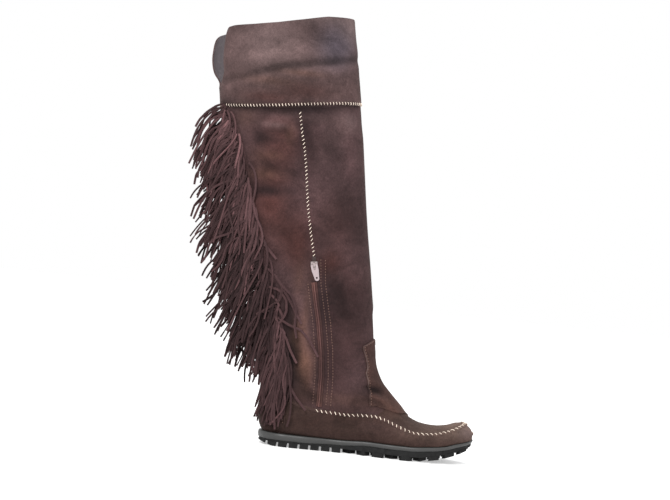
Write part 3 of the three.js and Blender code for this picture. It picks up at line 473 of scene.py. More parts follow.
VERTICAL_SEAM = (
    (-21, 388), (-17, 369), (-11, 345), (-7, 323), (-3.5, 299), (0.5, 275), (6, 250), (12, 226),
)
FAR = 400
JOIN = [(-FAR, MOC_SEAM[0][1]), *MOC_SEAM[:JOIN_STEPS], *INSTEP_JOIN, (FAR, INSTEP_JOIN[-1][1])]
COUNTER_TOP = COUNTER_EDGE[-1][1]
SLIT_FOOT = HEEL_STACK + INSTEP_HEIGHT + 0.771 * SHAFT_HEIGHT


# Lines and grids on the skin
def along_line(line, step):
    """A side line's points at even steps."""
    line = np.array(line, float)
    run = np.concatenate([[0], np.cumsum(np.hypot(*np.diff(line, axis=0).T))])
    at = np.linspace(0, run[-1], max(2, int(run[-1] / step) + 1))
    return np.stack([np.interp(at, run, line[:, 0]), np.interp(at, run, line[:, 1])], 1)


def shifted(line, dx):
    return [(x + dx, z) for x, z in line]


def on_skin(points, side):
    """Sections and turns of the skin over side-view points."""
    return np.array([side_to_skin(x, z, side) for x, z in points]).T


def trace(line, side, step=1.0):
    return on_skin(along_line(line, step), side)


def respace(curve, count):
    """Sections and turns of a curve at even distances along the skin."""
    run = run_of(skin(*curve))
    at = np.linspace(0, run[-1], count)
    return np.array([np.interp(at, run, values) for values in curve])


def crossing(line, turns):
    """The last section at which each turn's path climbs over a side line."""
    xs, zs = np.array(line, float).T
    points = skin(LINE_T[:, None], turns[None, :])
    above = points[..., 2] - np.interp(points[..., 0], xs, zs)
    found = []
    for column in above.T:
        under = np.nonzero(column < 0)[0]
        i = min(int(under[-1]) if len(under) else 0, len(column) - 2)
        share = -column[i] / max(column[i + 1] - column[i], 1e-9)
        found.append(LINE_T[i] + (LINE_T[i + 1] - LINE_T[i]) * float(np.clip(share, 0, 1)))
    return np.array(found)


def edge_over(line, turns):
    return np.array([crossing(line, turns), turns])


def between(low, high, rows):
    """A grid of sections and turns from one curve to another, evenly spaced along the skin."""
    share = np.linspace(0, 1, 97)[:, None]
    paths = [(start * (1 - share) + end * share).T for start, end in zip(low.T, high.T)]
    return np.array([respace(path, rows) for path in paths]).transpose(1, 2, 0)


# Mesh builders
def grid_faces(rows, columns, closed=False):
    i, j = np.meshgrid(np.arange(rows - 1), np.arange(columns if closed else columns - 1), indexing="ij")
    k = (j + 1) % columns
    faces = np.stack([i * columns + j, i * columns + k, (i + 1) * columns + k, (i + 1) * columns + j], -1)
    return faces.reshape(-1, 4)


def tube_faces(rows, columns, start=0):
    """Faces of a closed tube and its two ends, for points from a start on."""
    last = start + (rows - 1) * columns
    sides = (grid_faces(rows, columns, True) + start).tolist()
    return [*sides, list(range(start, start + columns)), list(range(last, last + columns))]


def add(name, data):
    made = bpy.data.objects.new(name, data)
    bpy.context.scene.collection.objects.link(made)
    return made


def linear(shade):
    """An sRGB shade as linear light, held back by LIGHT_SHARE."""
    shade = np.asarray(shade, float)
    return LIGHT_SHARE * np.where(shade <= 0.04045, shade / 12.92, ((shade + 0.055) / 1.055) ** 2.4)


def build(name, points, faces, materials, nodes=(), kinds=None, shades=None, body=BOOT, angle=50):
    """One riding mesh piece from points in mm."""
    mesh = bpy.data.meshes.new(name)
    points = np.asarray(points, float).reshape(-1, 3)
    mesh.from_pydata((points * MM).tolist(), [], [list(map(int, face)) for face in faces])
    for material in materials:
        mesh.materials.append(material)
    if kinds is not None:
        mesh.polygons.foreach_set("material_index", np.asarray(kinds, np.int32))
    made = bmesh.new()
    made.from_mesh(mesh)
    bmesh.ops.recalc_face_normals(made, faces=made.faces)
    made.to_mesh(mesh)
    made.free()
    mesh.polygons.foreach_set("use_smooth", np.ones(len(mesh.polygons), bool))
    mesh.set_sharp_from_angle(angle=math.radians(angle))
    if shades is not None:
        layer = mesh.color_attributes.new("paint", "FLOAT_COLOR", "POINT")
        colours = np.ones((len(points), 4))
        colours[:, :3] = linear(shades).reshape(-1, 3)
        layer.data.foreach_set("color", colours.ravel())
    mesh.update()
    piece = add(name, mesh)
    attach(piece, body)
    if nodes:
        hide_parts(*nodes)


def shell(name, grid, materials, nodes, base, offset=0.0, depth=WALL, closed=False,
          dip=RIM_DIP, caps=()):
    """A wall of suede over a grid of the skin: its outside, its inside and its rims."""
    t, turn = grid
    rows, columns = t.shape
    outer, normals = place(t, turn, offset)
    inner = outer - normals * depth
    shades = paint(outer, base)
    for row in (0, -1):
        outer[row] -= normals[row] * dip
    if not closed:
        for column in (0, -1):
            outer[:, column] -= normals[:, column] * dip
    count = rows * columns
    out = grid_faces(rows, columns, closed)
    across = np.arange(columns if closed else columns - 1)
    after = (across + 1) % columns
    last = (rows - 1) * columns
    edges = [(across, after), (last + across, last + after)]
    if not closed:
        down = np.arange(rows - 1) * columns
        edges += [(down + edge, down + edge + columns) for edge in (0, columns - 1)]
    rims = [np.stack([one, other, other + count, one + count], 1) for one, other in edges]
    faces = [*out.tolist(), *(out + count).tolist(), *np.concatenate(rims).tolist(), *caps]
    kinds = np.zeros(len(faces), np.int32)
    kinds[len(out): 2 * len(out)] = min(1, len(materials) - 1)
    build(name, [outer, inner], faces, materials, nodes, kinds, [shades, shades])


def frames(points, normals):
    """Unit directions along and across a path that lies on a surface."""
    along = unit(np.gradient(points, axis=-2))
    return along, unit(np.cross(along, normals))


def sweep(name, points, normals, profile, material, nodes, base, pucker=0.0, tones=1.0):
    """A bar with a profile of (across, out) sizes along a path on the skin."""
    across = frames(points, normals)[1]
    swell = 1 + pucker * np.cos(2 * np.pi * run_of(points) / MOC_PITCH)[:, None]
    wide, high = np.array(profile, float).T
    wide = wide * (1 + 0.5 * (swell - 1))
    high = high * swell
    rings = points[:, None] + across[:, None] * wide[..., None] + normals[:, None] * high[..., None]
    # tones scale the shade at each profile point; for the zip welt they are painted shade and light
    shades = paint(rings, base) * np.reshape(tones, (-1, 1))
    build(name, rings, tube_faces(*wide.shape), [material], nodes, None, shades)


SIXTHS = np.arange(6) * math.pi / 3
HEXAGON = np.stack([np.cos(SIXTHS), np.sin(SIXTHS)], 1)


def bars(paths, ref, width, thick, twist=0.0, ends=1.0, outline=HEXAGON):
    """Points and faces of many bars along paths of equal length, broad side towards ref."""
    paths = np.asarray(paths, float)
    count, steps = paths.shape[:2]
    along, across = frames(paths, np.broadcast_to(ref, paths.shape))
    up = np.cross(across, along)
    cosine = np.cos(twist)[..., None]
    sine = np.sin(twist)[..., None]
    turned = across * cosine + up * sine
    up = up * cosine - across * sine
    outline = np.asarray(outline, float)
    share = np.ones(steps)
    share[0] = share[-1] = ends
    wide, high = (np.reshape(size, (-1, 1, 1, 1)) / 2 * share[:, None, None] for size in (width, thick))
    rings = paths[:, :, None] + turned[:, :, None] * outline[:, :1] * wide
    rings = rings + up[:, :, None] * outline[:, 1:] * high
    faces = []
    for k in range(count):
        faces.extend(tube_faces(steps, len(outline), k * steps * len(outline)))
    return rings, faces


# Shades over the skin: soft tints placed one by one
TINTS = (
    # Painted light on the back half of the cuff's upper part
    (-60, 468, 50, 60, CUFF_PALE, 0.44, 0),
    (-14, 482, 26, 12, CUFF_WARM, 0.4, 0),
    # Painted shade with a painted bluish sheen on the cuff's front end
    (14, 472, 22, 28, BLUE, 0.85, 0),
    (14, 474, 12, 18, DARK, 0.3, 0),
    (0, 502, 60, 8, CUFF_PALE, 0.4, 0),
    (10, 424, 80, 13, CUFF_WARM, 0.7, 0),
    (-20, 414, 30, 10, RED, 0.4, 0),
    # Painted light along the ridge below the cuff's old fold
    (-60, 422, 30, 6, TAN, 0.35, 0),
    (-24, 434, 26, 4, TAN, 0.4, 0),
    (30, 492, 16, 14, CUFF_PALE, 0.5, 0),
    (-60, 402, 30, 9, RED, 0.5, 0),
    # Painted shadow under the cuff's seam and its stitches
    (-30, 392, 70, 7, DARK, 0.5, 0),
    (-40, 350, 28, 30, RED, 0.55, -1),
    (-46, 285, 24, 40, RED, 0.7, -1),
    (-20, 250, 20, 30, RED, 0.5, -1),
    (-6, 232, 14, 26, RED, 0.6, -1),
    (-50, 295, 22, 7, DARK, 0.75, -1),
    (-24, 300, 12, 6, DARK, 0.35, -1),
    # Painted shade in a crease trough
    (-14, 356, 8, 40, DARK, 0.4, -1),
    # Painted light on the fold face over the crease trough below it
    (-48, 371, 17, 4, CUFF_PALE, 0.35, -1),
    (-84, 378, 14, 14, TAN, 0.3, -1),
    (-30, 362, 6, 12, TAN, 0.35, -1),
    # Painted shade in a crease trough
    (-66, 360, 8, 12, DARK, 0.45, -1),
    (-52, 354, 18, 5, DARK, 0.35, -1),
    (-55, 314, 18, 7, TAN, 0.5, -1),
    (-46, 336, 12, 5, TAN, 0.35, -1),
    (-20, 276, 10, 20, DARK, 0.3, -1),
    (-62, 334, 12, 10, TAN, 0.25, -1),
    (36, 384, 12, 12, CUFF_PALE, 0.4, 0),
    (-8, 384, 40, 5, CUFF_WARM, 0.4, 0),
    (44, 130, 20, 64, SHAFT_LOW, 0.85, -1),
    (34, 96, 10, 24, DARK, 0.3, -1),
    (-12, 318, 12, 16, DARK, 0.25, -1),
    (22, 372, 16, 30, CUFF_WARM, 0.5, 0),
    (30, 330, 26, 34, SUEDE, 0.6, 0),
    (34, 262, 26, 34, RED, 0.25, 0),
    (32, 218, 12, 14, RED, 0.7, -1),
    (-2, 196, 7, 20, TAN, 0.35, -1),
    (10, 150, 5, 50, TAN, 0.4, -1),
    (52, 186, 26, 34, SHAFT_LOW, 0.85, 0),
    (66, 140, 22, 34, SHAFT_LOW, 0.6, 0),
    (28, 172, 12, 20, DARK, 0.45, -1),
    (42, 122, 16, 46, DARK, 0.24, -1),
    (52, 84, 16, 26, SHAFT_LOW, 0.45, 0),
    (0, 126, 8, 22, TAN, 0.9, -1),
    (14, 96, 12, 22, TAN, 0.6, -1),
    (12, 100, 9, 18, TAN, 0.6, -1),
    (18, 78, 7, 18, TAN, 0.45, -1),
    # Painted shade in a crease hollow
    (-4, 102, 7, 22, DARK, 0.9, -1),
    (-2, 78, 10, 10, DARK, 0.7, -1),
    (-14, 130, 8, 26, DARK, 0.6, -1),
    (18, 62, 18, 9, FOOT_DARK, 0.6, 0),
    (30, 32, 34, 10, FOOT_DARK, 0.6, 0),
    (60, 62, 50, 8, OVERLAY, 0.7, 0),
    (64, 44, 26, 12, FOOT_DARK, 0.5, 0),
    (88, 60, 18, 16, FOOT_DARK, 0.45, 0),
    # Painted shade in a crease on the foot's side
    (99, 76, 9, 4, DARK, 0.75, 0),
    (110, 34, 26, 10, SHAFT_LOW, 0.4, 0),
    (95, 21, 110, 8, FOOT_DARK, 0.6, 0),
    (126, 58, 22, 12, TAN, 0.35, 0),
    (150, 36, 30, 12, FOOT_PALE, 0.25, 0),
    (196, 46, 34, 16, FOOT_PALE, 0.85, 0),
    (212, 38, 12, 8, CUFF_PALE, 0.6, 0),
)


def paint(points, base):
    """The skin's shade at points, as sRGB shares, with painted crease shade and ridge light."""
    x, y, z = np.moveaxis(points, -1, 0)
    shade = np.broadcast_to(np.asarray(base, float), points.shape).copy()
    for px, pz, rx, rz, tint, strength, side in TINTS:
        weight = strength * np.exp(-(((x - px) / rx) ** 2) - ((z - pz) / rz) ** 2)
        if side:
            weight = weight * (0.35 + 0.65 * smooth(side * y / SIDE_FADE))
        shade = shade + (np.asarray(tint) - shade) * weight[..., None]
    # Painted shade and light: darker where the relief sinks into creases, lighter where it stands out
    crease_light_and_shade = np.clip(1 + 0.1 * relief(points), 0.68, 1.2)
    return shade * crease_light_and_shade[..., None]


# Materials
def material_of(name):
    material = bpy.data.materials.new(name)
    material.use_nodes = True
    return material, material.node_tree, material.node_tree.nodes["Principled BSDF"]


def new_node(tree, kind, values, links):
    """A shader node with its values set and its inputs linked by name."""
    node = tree.nodes.new("ShaderNode" + kind)
    for socket, value in values.items():
        node.inputs[socket].default_value = value
    for socket, source in links.items():
        tree.links.new(source, node.inputs[socket])
    return node.outputs


def noise(tree, scale, detail=3.0, roughness=0.55, stretch=None, distortion=0.0):
    """A noise over the object's own space, stretched by three factors where given."""
    source = new_node(tree, "TexCoord", {}, {})["Object"]
    if stretch:
        source = new_node(tree, "Mapping", {"Scale": stretch}, {"Vector": source})["Vector"]
    values = {"Scale": scale, "Detail": detail, "Roughness": roughness, "Distortion": distortion}
    return new_node(tree, "TexNoise", values, {"Vector": source})["Fac"]


def spread(tree, value, low, high, start=0.3, end=0.7):
    """A value from start to end, taken to one from low to high."""
    values = {"From Min": start, "From Max": end, "To Min": low, "To Max": high}
    return new_node(tree, "MapRange", values, {"Value": value})["Result"]


def product(tree, first, second):
    node = tree.nodes.new("ShaderNodeMath")
    node.operation = "MULTIPLY"
    tree.links.new(first, node.inputs[0])
    tree.links.new(second, node.inputs[1])
    return node.outputs["Value"]


def bump(tree, height, strength, distance, before=None):
    links = {"Height": height, "Normal": before} if before else {"Height": height}
    return new_node(tree, "Bump", {"Strength": strength, "Distance": distance}, links)["Normal"]


def shaded(tree, shader, value, saturation=1.0, shade=None):
    """Links the painted shade, or a fixed one, times a varying value to the base colour."""
    values = {"Saturation": saturation}
    links = {"Value": value}
    if shade is None:
        source = tree.nodes.new("ShaderNodeAttribute")
        source.attribute_name = "paint"
        links["Color"] = source.outputs["Color"]
    else:
        values["Color"] = (*linear(shade), 1)
    mixed = new_node(tree, "HueSaturation", values, links)
    tree.links.new(mixed["Color"], shader.inputs["Base Color"])


def suede(name, shade=None, mottle=0.2, nap=0.24, fleck=0.16, saturation=1.0, relief_size=0.0005):
    """Napped suede: cloudy patches, brushed nap, fine flecks, a soft sheen and a fibrous bump."""
    material, tree, shader = material_of(name)
    patches = spread(tree, noise(tree, 13, 2, 0.5, (1, 1, 1.3), 0.9), 1 - mottle / 2, 1 + mottle / 2)
    cloud = spread(tree, noise(tree, 44, 4, 0.62, (0.8, 0.8, 1.1), 1.2), 1 - mottle, 1 + mottle)
    brushed = spread(tree, noise(tree, 260, 5, 0.7, (1, 1, 0.8), 1.5), 1 - nap, 1 + nap, 0.28, 0.72)
    specks = spread(tree, noise(tree, 1100, 3, 0.7), 1 - fleck, 1 + fleck)
    value = product(tree, product(tree, patches, cloud), product(tree, brushed, specks))
    shaded(tree, shader, value, saturation, shade)
    folds = bump(tree, noise(tree, 120, 3, 0.55, (1, 1, 0.8), 0.3), 0.35, 0.0011)
    fibres = bump(tree, noise(tree, 620, 4, 0.7, None, 0.6), 0.55, relief_size, folds)
    fine = bump(tree, noise(tree, 2600, 2, 0.6), 0.55, 0.00016, fibres)
    tree.links.new(fine, shader.inputs["Normal"])
    rough = spread(tree, noise(tree, 200, 3), 0.82, 0.98)
    tree.links.new(rough, shader.inputs["Roughness"])
    shader.inputs["Specular IOR Level"].default_value = 0.1
    shader.inputs["Sheen Weight"].default_value = 0.06
    shader.inputs["Sheen Roughness"].default_value = 0.45
    shader.inputs["Sheen Tint"].default_value = (0.6, 0.42, 0.38, 1)
    return material


def plain(name, shade, roughness, grain, depth, metallic=0.0, vary=0.1, scale=300, gloss=0.5):
    """A moulded, felted or plated surface: a fixed shade with a fine grain and uneven gloss."""
    material, tree, shader = material_of(name)
    value = product(tree, spread(tree, noise(tree, 60), 1 - vary, 1 + vary),
                    spread(tree, noise(tree, scale, 3), 1 - vary / 2, 1 + vary / 2))
    shaded(tree, shader, value, 1.0, shade)
    rough = spread(tree, noise(tree, scale * 0.6), roughness * 0.85, roughness * 1.15)
    tree.links.new(rough, shader.inputs["Roughness"])
    tree.links.new(bump(tree, noise(tree, scale, 4, 0.6), grain, depth), shader.inputs["Normal"])
    shader.inputs["Metallic"].default_value = metallic
    shader.inputs["Specular IOR Level"].default_value = gloss
    return material


SKIN = suede("suede_skin", mottle=0.24, nap=0.28, fleck=0.22, relief_size=0.0004)
PANEL = suede("suede_panel", mottle=0.22, nap=0.3, fleck=0.22, relief_size=0.0004)
STRIP = suede("suede_strip", mottle=0.14, nap=0.2, fleck=0.22, relief_size=0.00035)
LINING = suede("suede_lining", LINING_SHADE, mottle=0.1, nap=0.12, saturation=0.8)
WELT = suede("suede_welt", mottle=0.15, nap=0.2, fleck=0.2, relief_size=0.0003)
THREAD = plain("thread_cream", CREAM, 0.75, 0.6, 0.00012, vary=0.16, scale=2200)
DARK_THREAD = plain("thread_brown", BROWN_THREAD, 0.8, 0.5, 0.0001, vary=0.16, scale=2200)
RUBBER = plain("rubber_tread", TREAD_SHADE, 0.72, 0.35, 0.0002, vary=0.14, scale=420, gloss=0.25)
SATIN = plain("rubber_band", BAND_SHADE, 0.46, 0.12, 0.00008, vary=0.08, scale=500)
FELT = plain("felt_insole", FELT_SHADE, 0.95, 0.8, 0.0004, vary=0.14, scale=900)
CLOTH = plain("zip_tape_cloth", CLOTH_SHADE, 0.85, 0.6, 0.0002, vary=0.12, scale=1500)
METAL = plain("zip_plated_metal", PULL_SHADE, 0.3, 0.1, 0.00005, 1, 0.05, 700)
# Painted shade: the slider is the pull's plating made darker
SHADED_SLIDER_METAL = plain("zip_slider_metal", SLIDER_SHADE, 0.4, 0.1, 0.00005, 1, 0.1, 700)


# The hollow foot
FOOT_COLUMNS = 170
FOOT_ROWS_UP = 64
TIP_COLUMNS = 12
MIRROR = np.array([1, -1])[:, None, None]


def feather_trace(start, end, count):
    """The skin along the sole's upper edge from one x to another."""
    xs = np.linspace(start, end, count)
    zs = [float(feather_height((x + HEEL_TO_ORIGIN) / SOLE_LENGTH)) + SEAM_GAP for x in xs]
    return trace(list(zip(xs, zs)), 1)


feather = feather_trace(x_at(0.03), x_at(0.9965), 240)
feather[1, 0] = 0.0
tip_turns = np.linspace(feather[1, -1], math.pi, TIP_COLUMNS)
foot_edge = np.hstack([feather, np.array([np.zeros(TIP_COLUMNS), tip_turns])])
join_turns = np.linspace(0, math.pi, 500)
join_edge = edge_over(JOIN, join_turns)
foot_grid = between(respace(foot_edge, FOOT_COLUMNS), respace(join_edge, FOOT_COLUMNS), FOOT_ROWS_UP)
foot_grid = np.concatenate([foot_grid, foot_grid[:, :, -2:0:-1] * MIRROR], 2)
tip = [k for k in range(foot_grid.shape[2]) if foot_grid[0, 0, k] < 1e-6]
shell("upper_suede", foot_grid, [SKIN, LINING], ["upper"], FOOT, closed=True, caps=[tip])

# The hollow leg
leg_turns = np.linspace(0, 2 * math.pi, 200, endpoint=False)
leg_grid = between(edge_over(JOIN, leg_turns), edge_over(CUFF_SEAM, leg_turns), 180)
shell("shaft_suede", leg_grid, [SKIN, LINING], ["shaft"], SUEDE, closed=True)


# The cuff, open at the back above the slit's foot
def slit_turn(t):
    """Half the slit's opening at sections t, as a turn."""
    bz, half = section_at(t)[[1, 4]]
    up = (bz - SLIT_FOOT) / SLIT_DEPTH
    foot = SLIT_FOOT_WIDTH / 2 * np.sqrt(np.clip(up / SLIT_ROUND, 0, 1))
    gap = foot + (SLIT_WIDTH - SLIT_FOOT_WIDTH) / 2 * np.clip(up, 0, 1)
    return np.arcsin(np.clip(gap / half, 0, 1) ** (SQUARENESS / 2))


cuff_share = np.linspace(0, 1, 200)


def cuff_turn(t):
    """The cuff's turns at sections t, from one side of the slit round to the other."""
    gap = slit_turn(t)
    return gap + (2 * math.pi - 2 * gap) * cuff_share


cuff_low = crossing(CUFF_SEAM, 2 * math.pi * cuff_share)
cuff_high = crossing(COLLAR_EDGE, 2 * math.pi * cuff_share)
for _ in range(3):
    collar_turns = cuff_turn(cuff_high)
    cuff_high = crossing(COLLAR_EDGE, collar_turns)
collar_run = run_of(skin(cuff_high, collar_turns))
to_slit = np.minimum(collar_run, collar_run[-1] - collar_run)
within = np.clip(CORNER_RADIUS - to_slit, 0, CORNER_RADIUS)
cuff_high -= (CORNER_RADIUS - np.sqrt(CORNER_RADIUS**2 - within**2)) / SECTION_RISE
cuff_t = cuff_low + (cuff_high - cuff_low) * np.linspace(0, 1, 60)[:, None]
cuff_grid = np.array([cuff_t, cuff_turn(cuff_t)])
shell("cuff_suede", cuff_grid, [SKIN, LINING], ["cuff"], CUFF_WARM, CUFF_STEP)


# The pieces laid on the skin
def lay_on(node, grid, base):
    """A sheet of suede over a grid of the skin."""
    shell(node + "_suede", grid, [PANEL], [node], base, OVERLAY_THICKNESS,
          OVERLAY_THICKNESS + OVERLAY_SINK, dip=OVERLAY_DIP)


FAN = 60
edge_t, edge_turn = trace(foot_line(((0.69, 0.385),)) + OVERLAY_BACK, -1, 1.2)[..., None]
edge_t = np.maximum.accumulate(edge_t)
fan = np.linspace(0, 1, FAN)[None]
overlay_turns = edge_turn * (1 - fan) + (-2 * math.pi - edge_turn) * fan
lay_on("ankle_overlay", np.array([np.repeat(edge_t, FAN, 1), overlay_turns]), OVERLAY)

HEEL_COLUMNS = 44
heel_low = feather_trace(COUNTER_EDGE[1][0], x_at(0.03), 40)
heel_low[1, -1] = 0.0
top_turns = np.linspace(side_to_skin(*COUNTER_EDGE[-1], 1)[1], 0, 60)
heel_high = edge_over([(-FAR, COUNTER_TOP), (FAR, COUNTER_TOP)], top_turns)
heel_grid = between(respace(heel_low, HEEL_COLUMNS), respace(heel_high, HEEL_COLUMNS), 40)
heel_grid = np.concatenate([heel_grid, heel_grid[:, :, -2::-1] * MIRROR], 2)
lay_on("heel_counter", heel_grid, FOOT_DARK)


def side_path(line, side, offset, step, soften):
    """Points and normals of the finished skin along a side line."""
    line = along_line(line, step)
    relax(line, soften)
    return place(*on_skin(line, side), offset)


def even_path(points, normals, step):
    """A path's points and normals at even steps."""
    run = run_of(points)
    at = np.linspace(0, run[-1], max(2, int(run[-1] / step) + 1))
    points, normals = (
        np.stack([np.interp(at, run, column) for column in values.T], 1) for values in (points, normals)
    )
    return points, unit(normals)


def round_path(line, step, soften):
    """A path along the inner side, over the top and back along the outer side."""
    inner, outer = (side_path(line, side, 0.0, 0.25, soften) for side in (-1, 1))
    points, normals = (np.concatenate([near, far[::-1]]) for near, far in zip(inner, outer))
    points, normals = even_path(points, normals, step)
    relax(points, 6)
    relax(normals, 6)
    return points, normals


def bead(name, line, side, wide, high, base):
    """The raised folded edge of a laid-on piece along a side line."""
    points, normals = side_path(line, side, OVERLAY_THICKNESS, 0.7, 2)
    shoulder = (0.8 * wide, 0.6 * high)
    outline = ((-wide, -0.4), (-shoulder[0], shoulder[1]), (0, high), shoulder, (wide, -0.4))
    sweep(name, points, normals, outline, PANEL, (), base)


for side, label in SIDES:
    bead("overlay_edge_" + label, shifted(OVERLAY_BACK[2:], 0.9), side, 0.8, 0.5, EDGE_SHADE)
    bead("counter_edge_" + label, shifted(COUNTER_EDGE[1:], -0.9), side, 0.9, 0.5, FOOT)

RIDGE = ((-2.3, -0.5), (-2, 0.35), (-1.2, 1.15), (0, 1.5), (1.2, 1.15), (2, 0.35), (2.3, -0.5))
moc_points, moc_normals = round_path(MOC_SEAM, 0.6, 12)
sweep("moccasin_seam_suede", moc_points, moc_normals, RIDGE, PANEL, ["moccasin_seam"],
      RIDGE_SHADE, pucker=0.22)

FLAP = (
    (-3.7, -0.5), (-3.5, 0.5), (-2.9, 1.2), (-1.2, 1.3), (-0.9, 0.6), (-0.5, 1.5), (0.3, 1.7),
    (1, 1.5), (1.3, 0.7), (1.7, 1.4), (2.7, 1.3), (3.3, 0.5), (3.6, -0.5),
)
# Painted shade in the welt's grooves and at its edges, painted light on its ridges
FLAP_LIGHT_AND_SHADE = (0.4, 0.6, 0.95, 0.9, 0.3, 1.15, 1.3, 1.15, 0.3, 1, 1.1, 0.8, 0.4)
zip_points, zip_normals = side_path(ZIP_LINE[1:], -1, 0.0, 1.0, 6)
sweep("zip_flap_suede", zip_points, zip_normals, FLAP, WELT, ["zip_flap"], WELT_SHADE,
      tones=FLAP_LIGHT_AND_SHADE)


def whip(name, points, normals, pitch, reach, slant, lift, thick):
    """Slanted stitches over a seam."""
    points, normals = even_path(points, normals, pitch)
    along, across = frames(points, normals)
    at = np.array([-1, -0.75, -0.35, 0, 0.35, 0.75, 1])
    rise = lift * (1 - at**2) ** 0.6 - 0.5 * (np.abs(at) > 0.9)
    random = np.random.default_rng(len(name))
    lean = slant * random.uniform(0.6, 1.4, len(points))
    paths = points[:, None] + across[:, None] * (reach * at)[:, None]
    paths = paths + along[:, None] * (lean[:, None] / 2 * at)[..., None]
    paths = paths + normals[:, None] * rise[:, None]
    sizes = thick * random.uniform(0.78, 1.12, len(points))
    rings, faces = bars(paths, normals[:, None], sizes, sizes, ends=0.7)
    build(name, rings, faces, [THREAD])


def rows_of(name, lines, side, offset):
    """Rows of short flat stitches along side lines."""
    at = np.array([-0.5, -0.3, 0.3, 0.5])[:, None] * TOPSTITCH_LENGTH
    sink = np.array([-0.25, 0.1, 0.1, -0.25])[:, None]
    paths = []
    refs = []
    for line in lines:
        points, normals = even_path(*side_path(line, side, offset, 0.6, 4), TOPSTITCH_PITCH)
        along = frames(points, normals)[0]
        for k in range(1, len(points) - 1):
            paths.append(points[k] + along[k] * at + normals[k] * sink)
            refs.append(np.repeat(normals[k][None], 4, 0))
    rings, faces = bars(paths, np.array(refs), TOPSTITCH_THICKNESS, TOPSTITCH_THICKNESS, ends=0.8)
    build(name, rings, faces, [DARK_THREAD])


STITCHED_FROM = 34
ahead = moc_points[:, 0] > STITCHED_FROM
whip("moccasin_stitches", moc_points[ahead], moc_normals[ahead], MOC_PITCH, 1.75, 2.8, 1.75, 0.8)
cuff_seam_turns = np.linspace(0, 2 * math.pi, 600)
seam_points, seam_normals = place(crossing(CUFF_SEAM, cuff_seam_turns) + 0.02, cuff_seam_turns, 0.3)
whip("cuff_stitches", seam_points, seam_normals, 3.7, 1.55, 0.9, 1.3, 0.72)
for side, label in SIDES:
    points, normals = side_path(VERTICAL_SEAM, side, 0.1, 1.0, 6)
    whip("vertical_stitches_" + label, points, normals, 4.4, 1.35, 2.0, 0.6, 0.72)


ZIP_ROWS = [shifted(ZIP_LINE, 8), shifted(ZIP_LINE, 13.4), shifted(ZIP_LINE[1:], -7.4)]
rows_of("zip_topstitch", ZIP_ROWS, -1, 0.0)
OVERLAY_ROWS = [shifted(OVERLAY_BACK[2:9], 2.4)]
rows_of("overlay_topstitch", OVERLAY_ROWS, -1, OVERLAY_THICKNESS)
rows_of("overlay_topstitch_outer", OVERLAY_ROWS, 1, OVERLAY_THICKNESS)
rows_of("counter_topstitch", [shifted(COUNTER_EDGE[1:], -3)], -1, OVERLAY_THICKNESS)

# The smooth band round the sole
LOOP = 360
loop_turn = np.arange(LOOP) * 2 * math.pi / LOOP
loop_share = (1 - np.cos(loop_turn)) / 2
loop_side = np.where(loop_turn < math.pi, -1, 1)
band_low = band_bottom(loop_share)
band_high = feather_height(loop_share)
BAND_PROFILE = (
    (4, 0), (0.9, 0), (0.3, 0.08), (0, 0.25), (-0.35, 0.5), (-0.3, 0.75), (0.1, 0.93),
    (0.7, 1), (4, 1),
)
rings = []
for inset, up in BAND_PROFILE:
    held = max(inset, 0)
    y = plan_bend(loop_share) + loop_side * plan_half(loop_share, held)
    x = np.clip(x_at(loop_share), x_at(0) + held, x_at(1) - held)
    ring = np.stack([x, y, band_low + (band_high - band_low) * up], 1)
    if inset < 0:
        run = np.roll(ring, -1, 0) - np.roll(ring, 1, 0)
        out = unit(np.stack([-run[:, 1], run[:, 0], 0 * run[:, 0]], 1))
        facing = np.sign(np.sum(out[:, 1] * loop_side)) or 1
        ring = ring - out * inset * facing
    rings.append(ring)
build("sole_band", rings, tube_faces(len(rings), LOOP), [SATIN], ["midsole"], angle=60)

# The solids that keep their own form
SOLID_MATERIALS = (
    ("outsole", RUBBER), ("insole", FELT), ("zip_tape", CLOTH), ("zip_slider", SHADED_SLIDER_METAL),
    ("zip_pull", METAL),
)
for node, material in SOLID_MATERIALS:
    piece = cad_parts[node]
    for place_in in piece.material_slots:
        place_in.material = material
for node, size in (("outsole", 0.0011), ("zip_slider", 0.00025), ("zip_pull", 0.0002)):
    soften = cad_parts[node].modifiers.new("soft_edges", "BEVEL")
    soften.width = size
    soften.segments = 2
    soften.limit_method = "ANGLE"
    soften.angle_limit = math.radians(35)

# The fringe of cut strips
FRINGE_LENGTH = 93
FRINGE_REACH = 145
STRIP_THICKNESS = 1.25
STRAND_WIDTH = 2.8
STRIP_STEPS = 18
STRIPS = 390
CLUMPS = 26
STEEP_SHARE = 0.47
HEEL_SHARE = 0.2
BEHIND_HEEL = -38
LOWEST_TIP = 66
TIP_SCATTER = 20
FLOOR_GAP = 19
ROOT_GAP = 30
LIT_AT = (0, 0.12, 0.3, 0.45, 0.65, 0.9, 1)
LIT = (1.02, 1, 0.9, 0.92, 1.09, 1.2, 1.22)
STRIP_OUTLINE = ((1, 0), (0.86, 1), (-0.86, 1), (-1, 0), (-0.86, -1), (0.86, -1))
STRIP_TONES = (1.16, 1, 1, 1.16, 0.95, 0.95)
FRINGE_EDGE = ((-3.5, -0.4), (-3.3, 1.5), (-2.6, 1.9), (2.6, 1.9), (3.3, 1.5), (3.5, -0.4))
ROOT = along_line(ROOT_LINE, 0.5)
STRAYS = (
    ((-112, 391), (-120, 388), (-130, 380), (-138, 370), (-142, 361)),
    ((-110, 390), (-122, 380), (-131, 366), (-136, 352), (-138, 342)),
    ((-108, 388), (-118, 374), (-126, 360), (-130, 346), (-133, 334)),
    ((-112, 386), (-120, 370), (-124, 352), (-131, 338)),
    ((-116, 360), (-130, 346), (-138, 330), (-140, 316)),
    ((-110, 340), (-126, 322), (-136, 306), (-137, 294)),
    ((-104, 300), (-122, 286), (-134, 270), (-137, 256)),
    ((-98, 262), (-114, 244), (-124, 226), (-126, 214)),
)
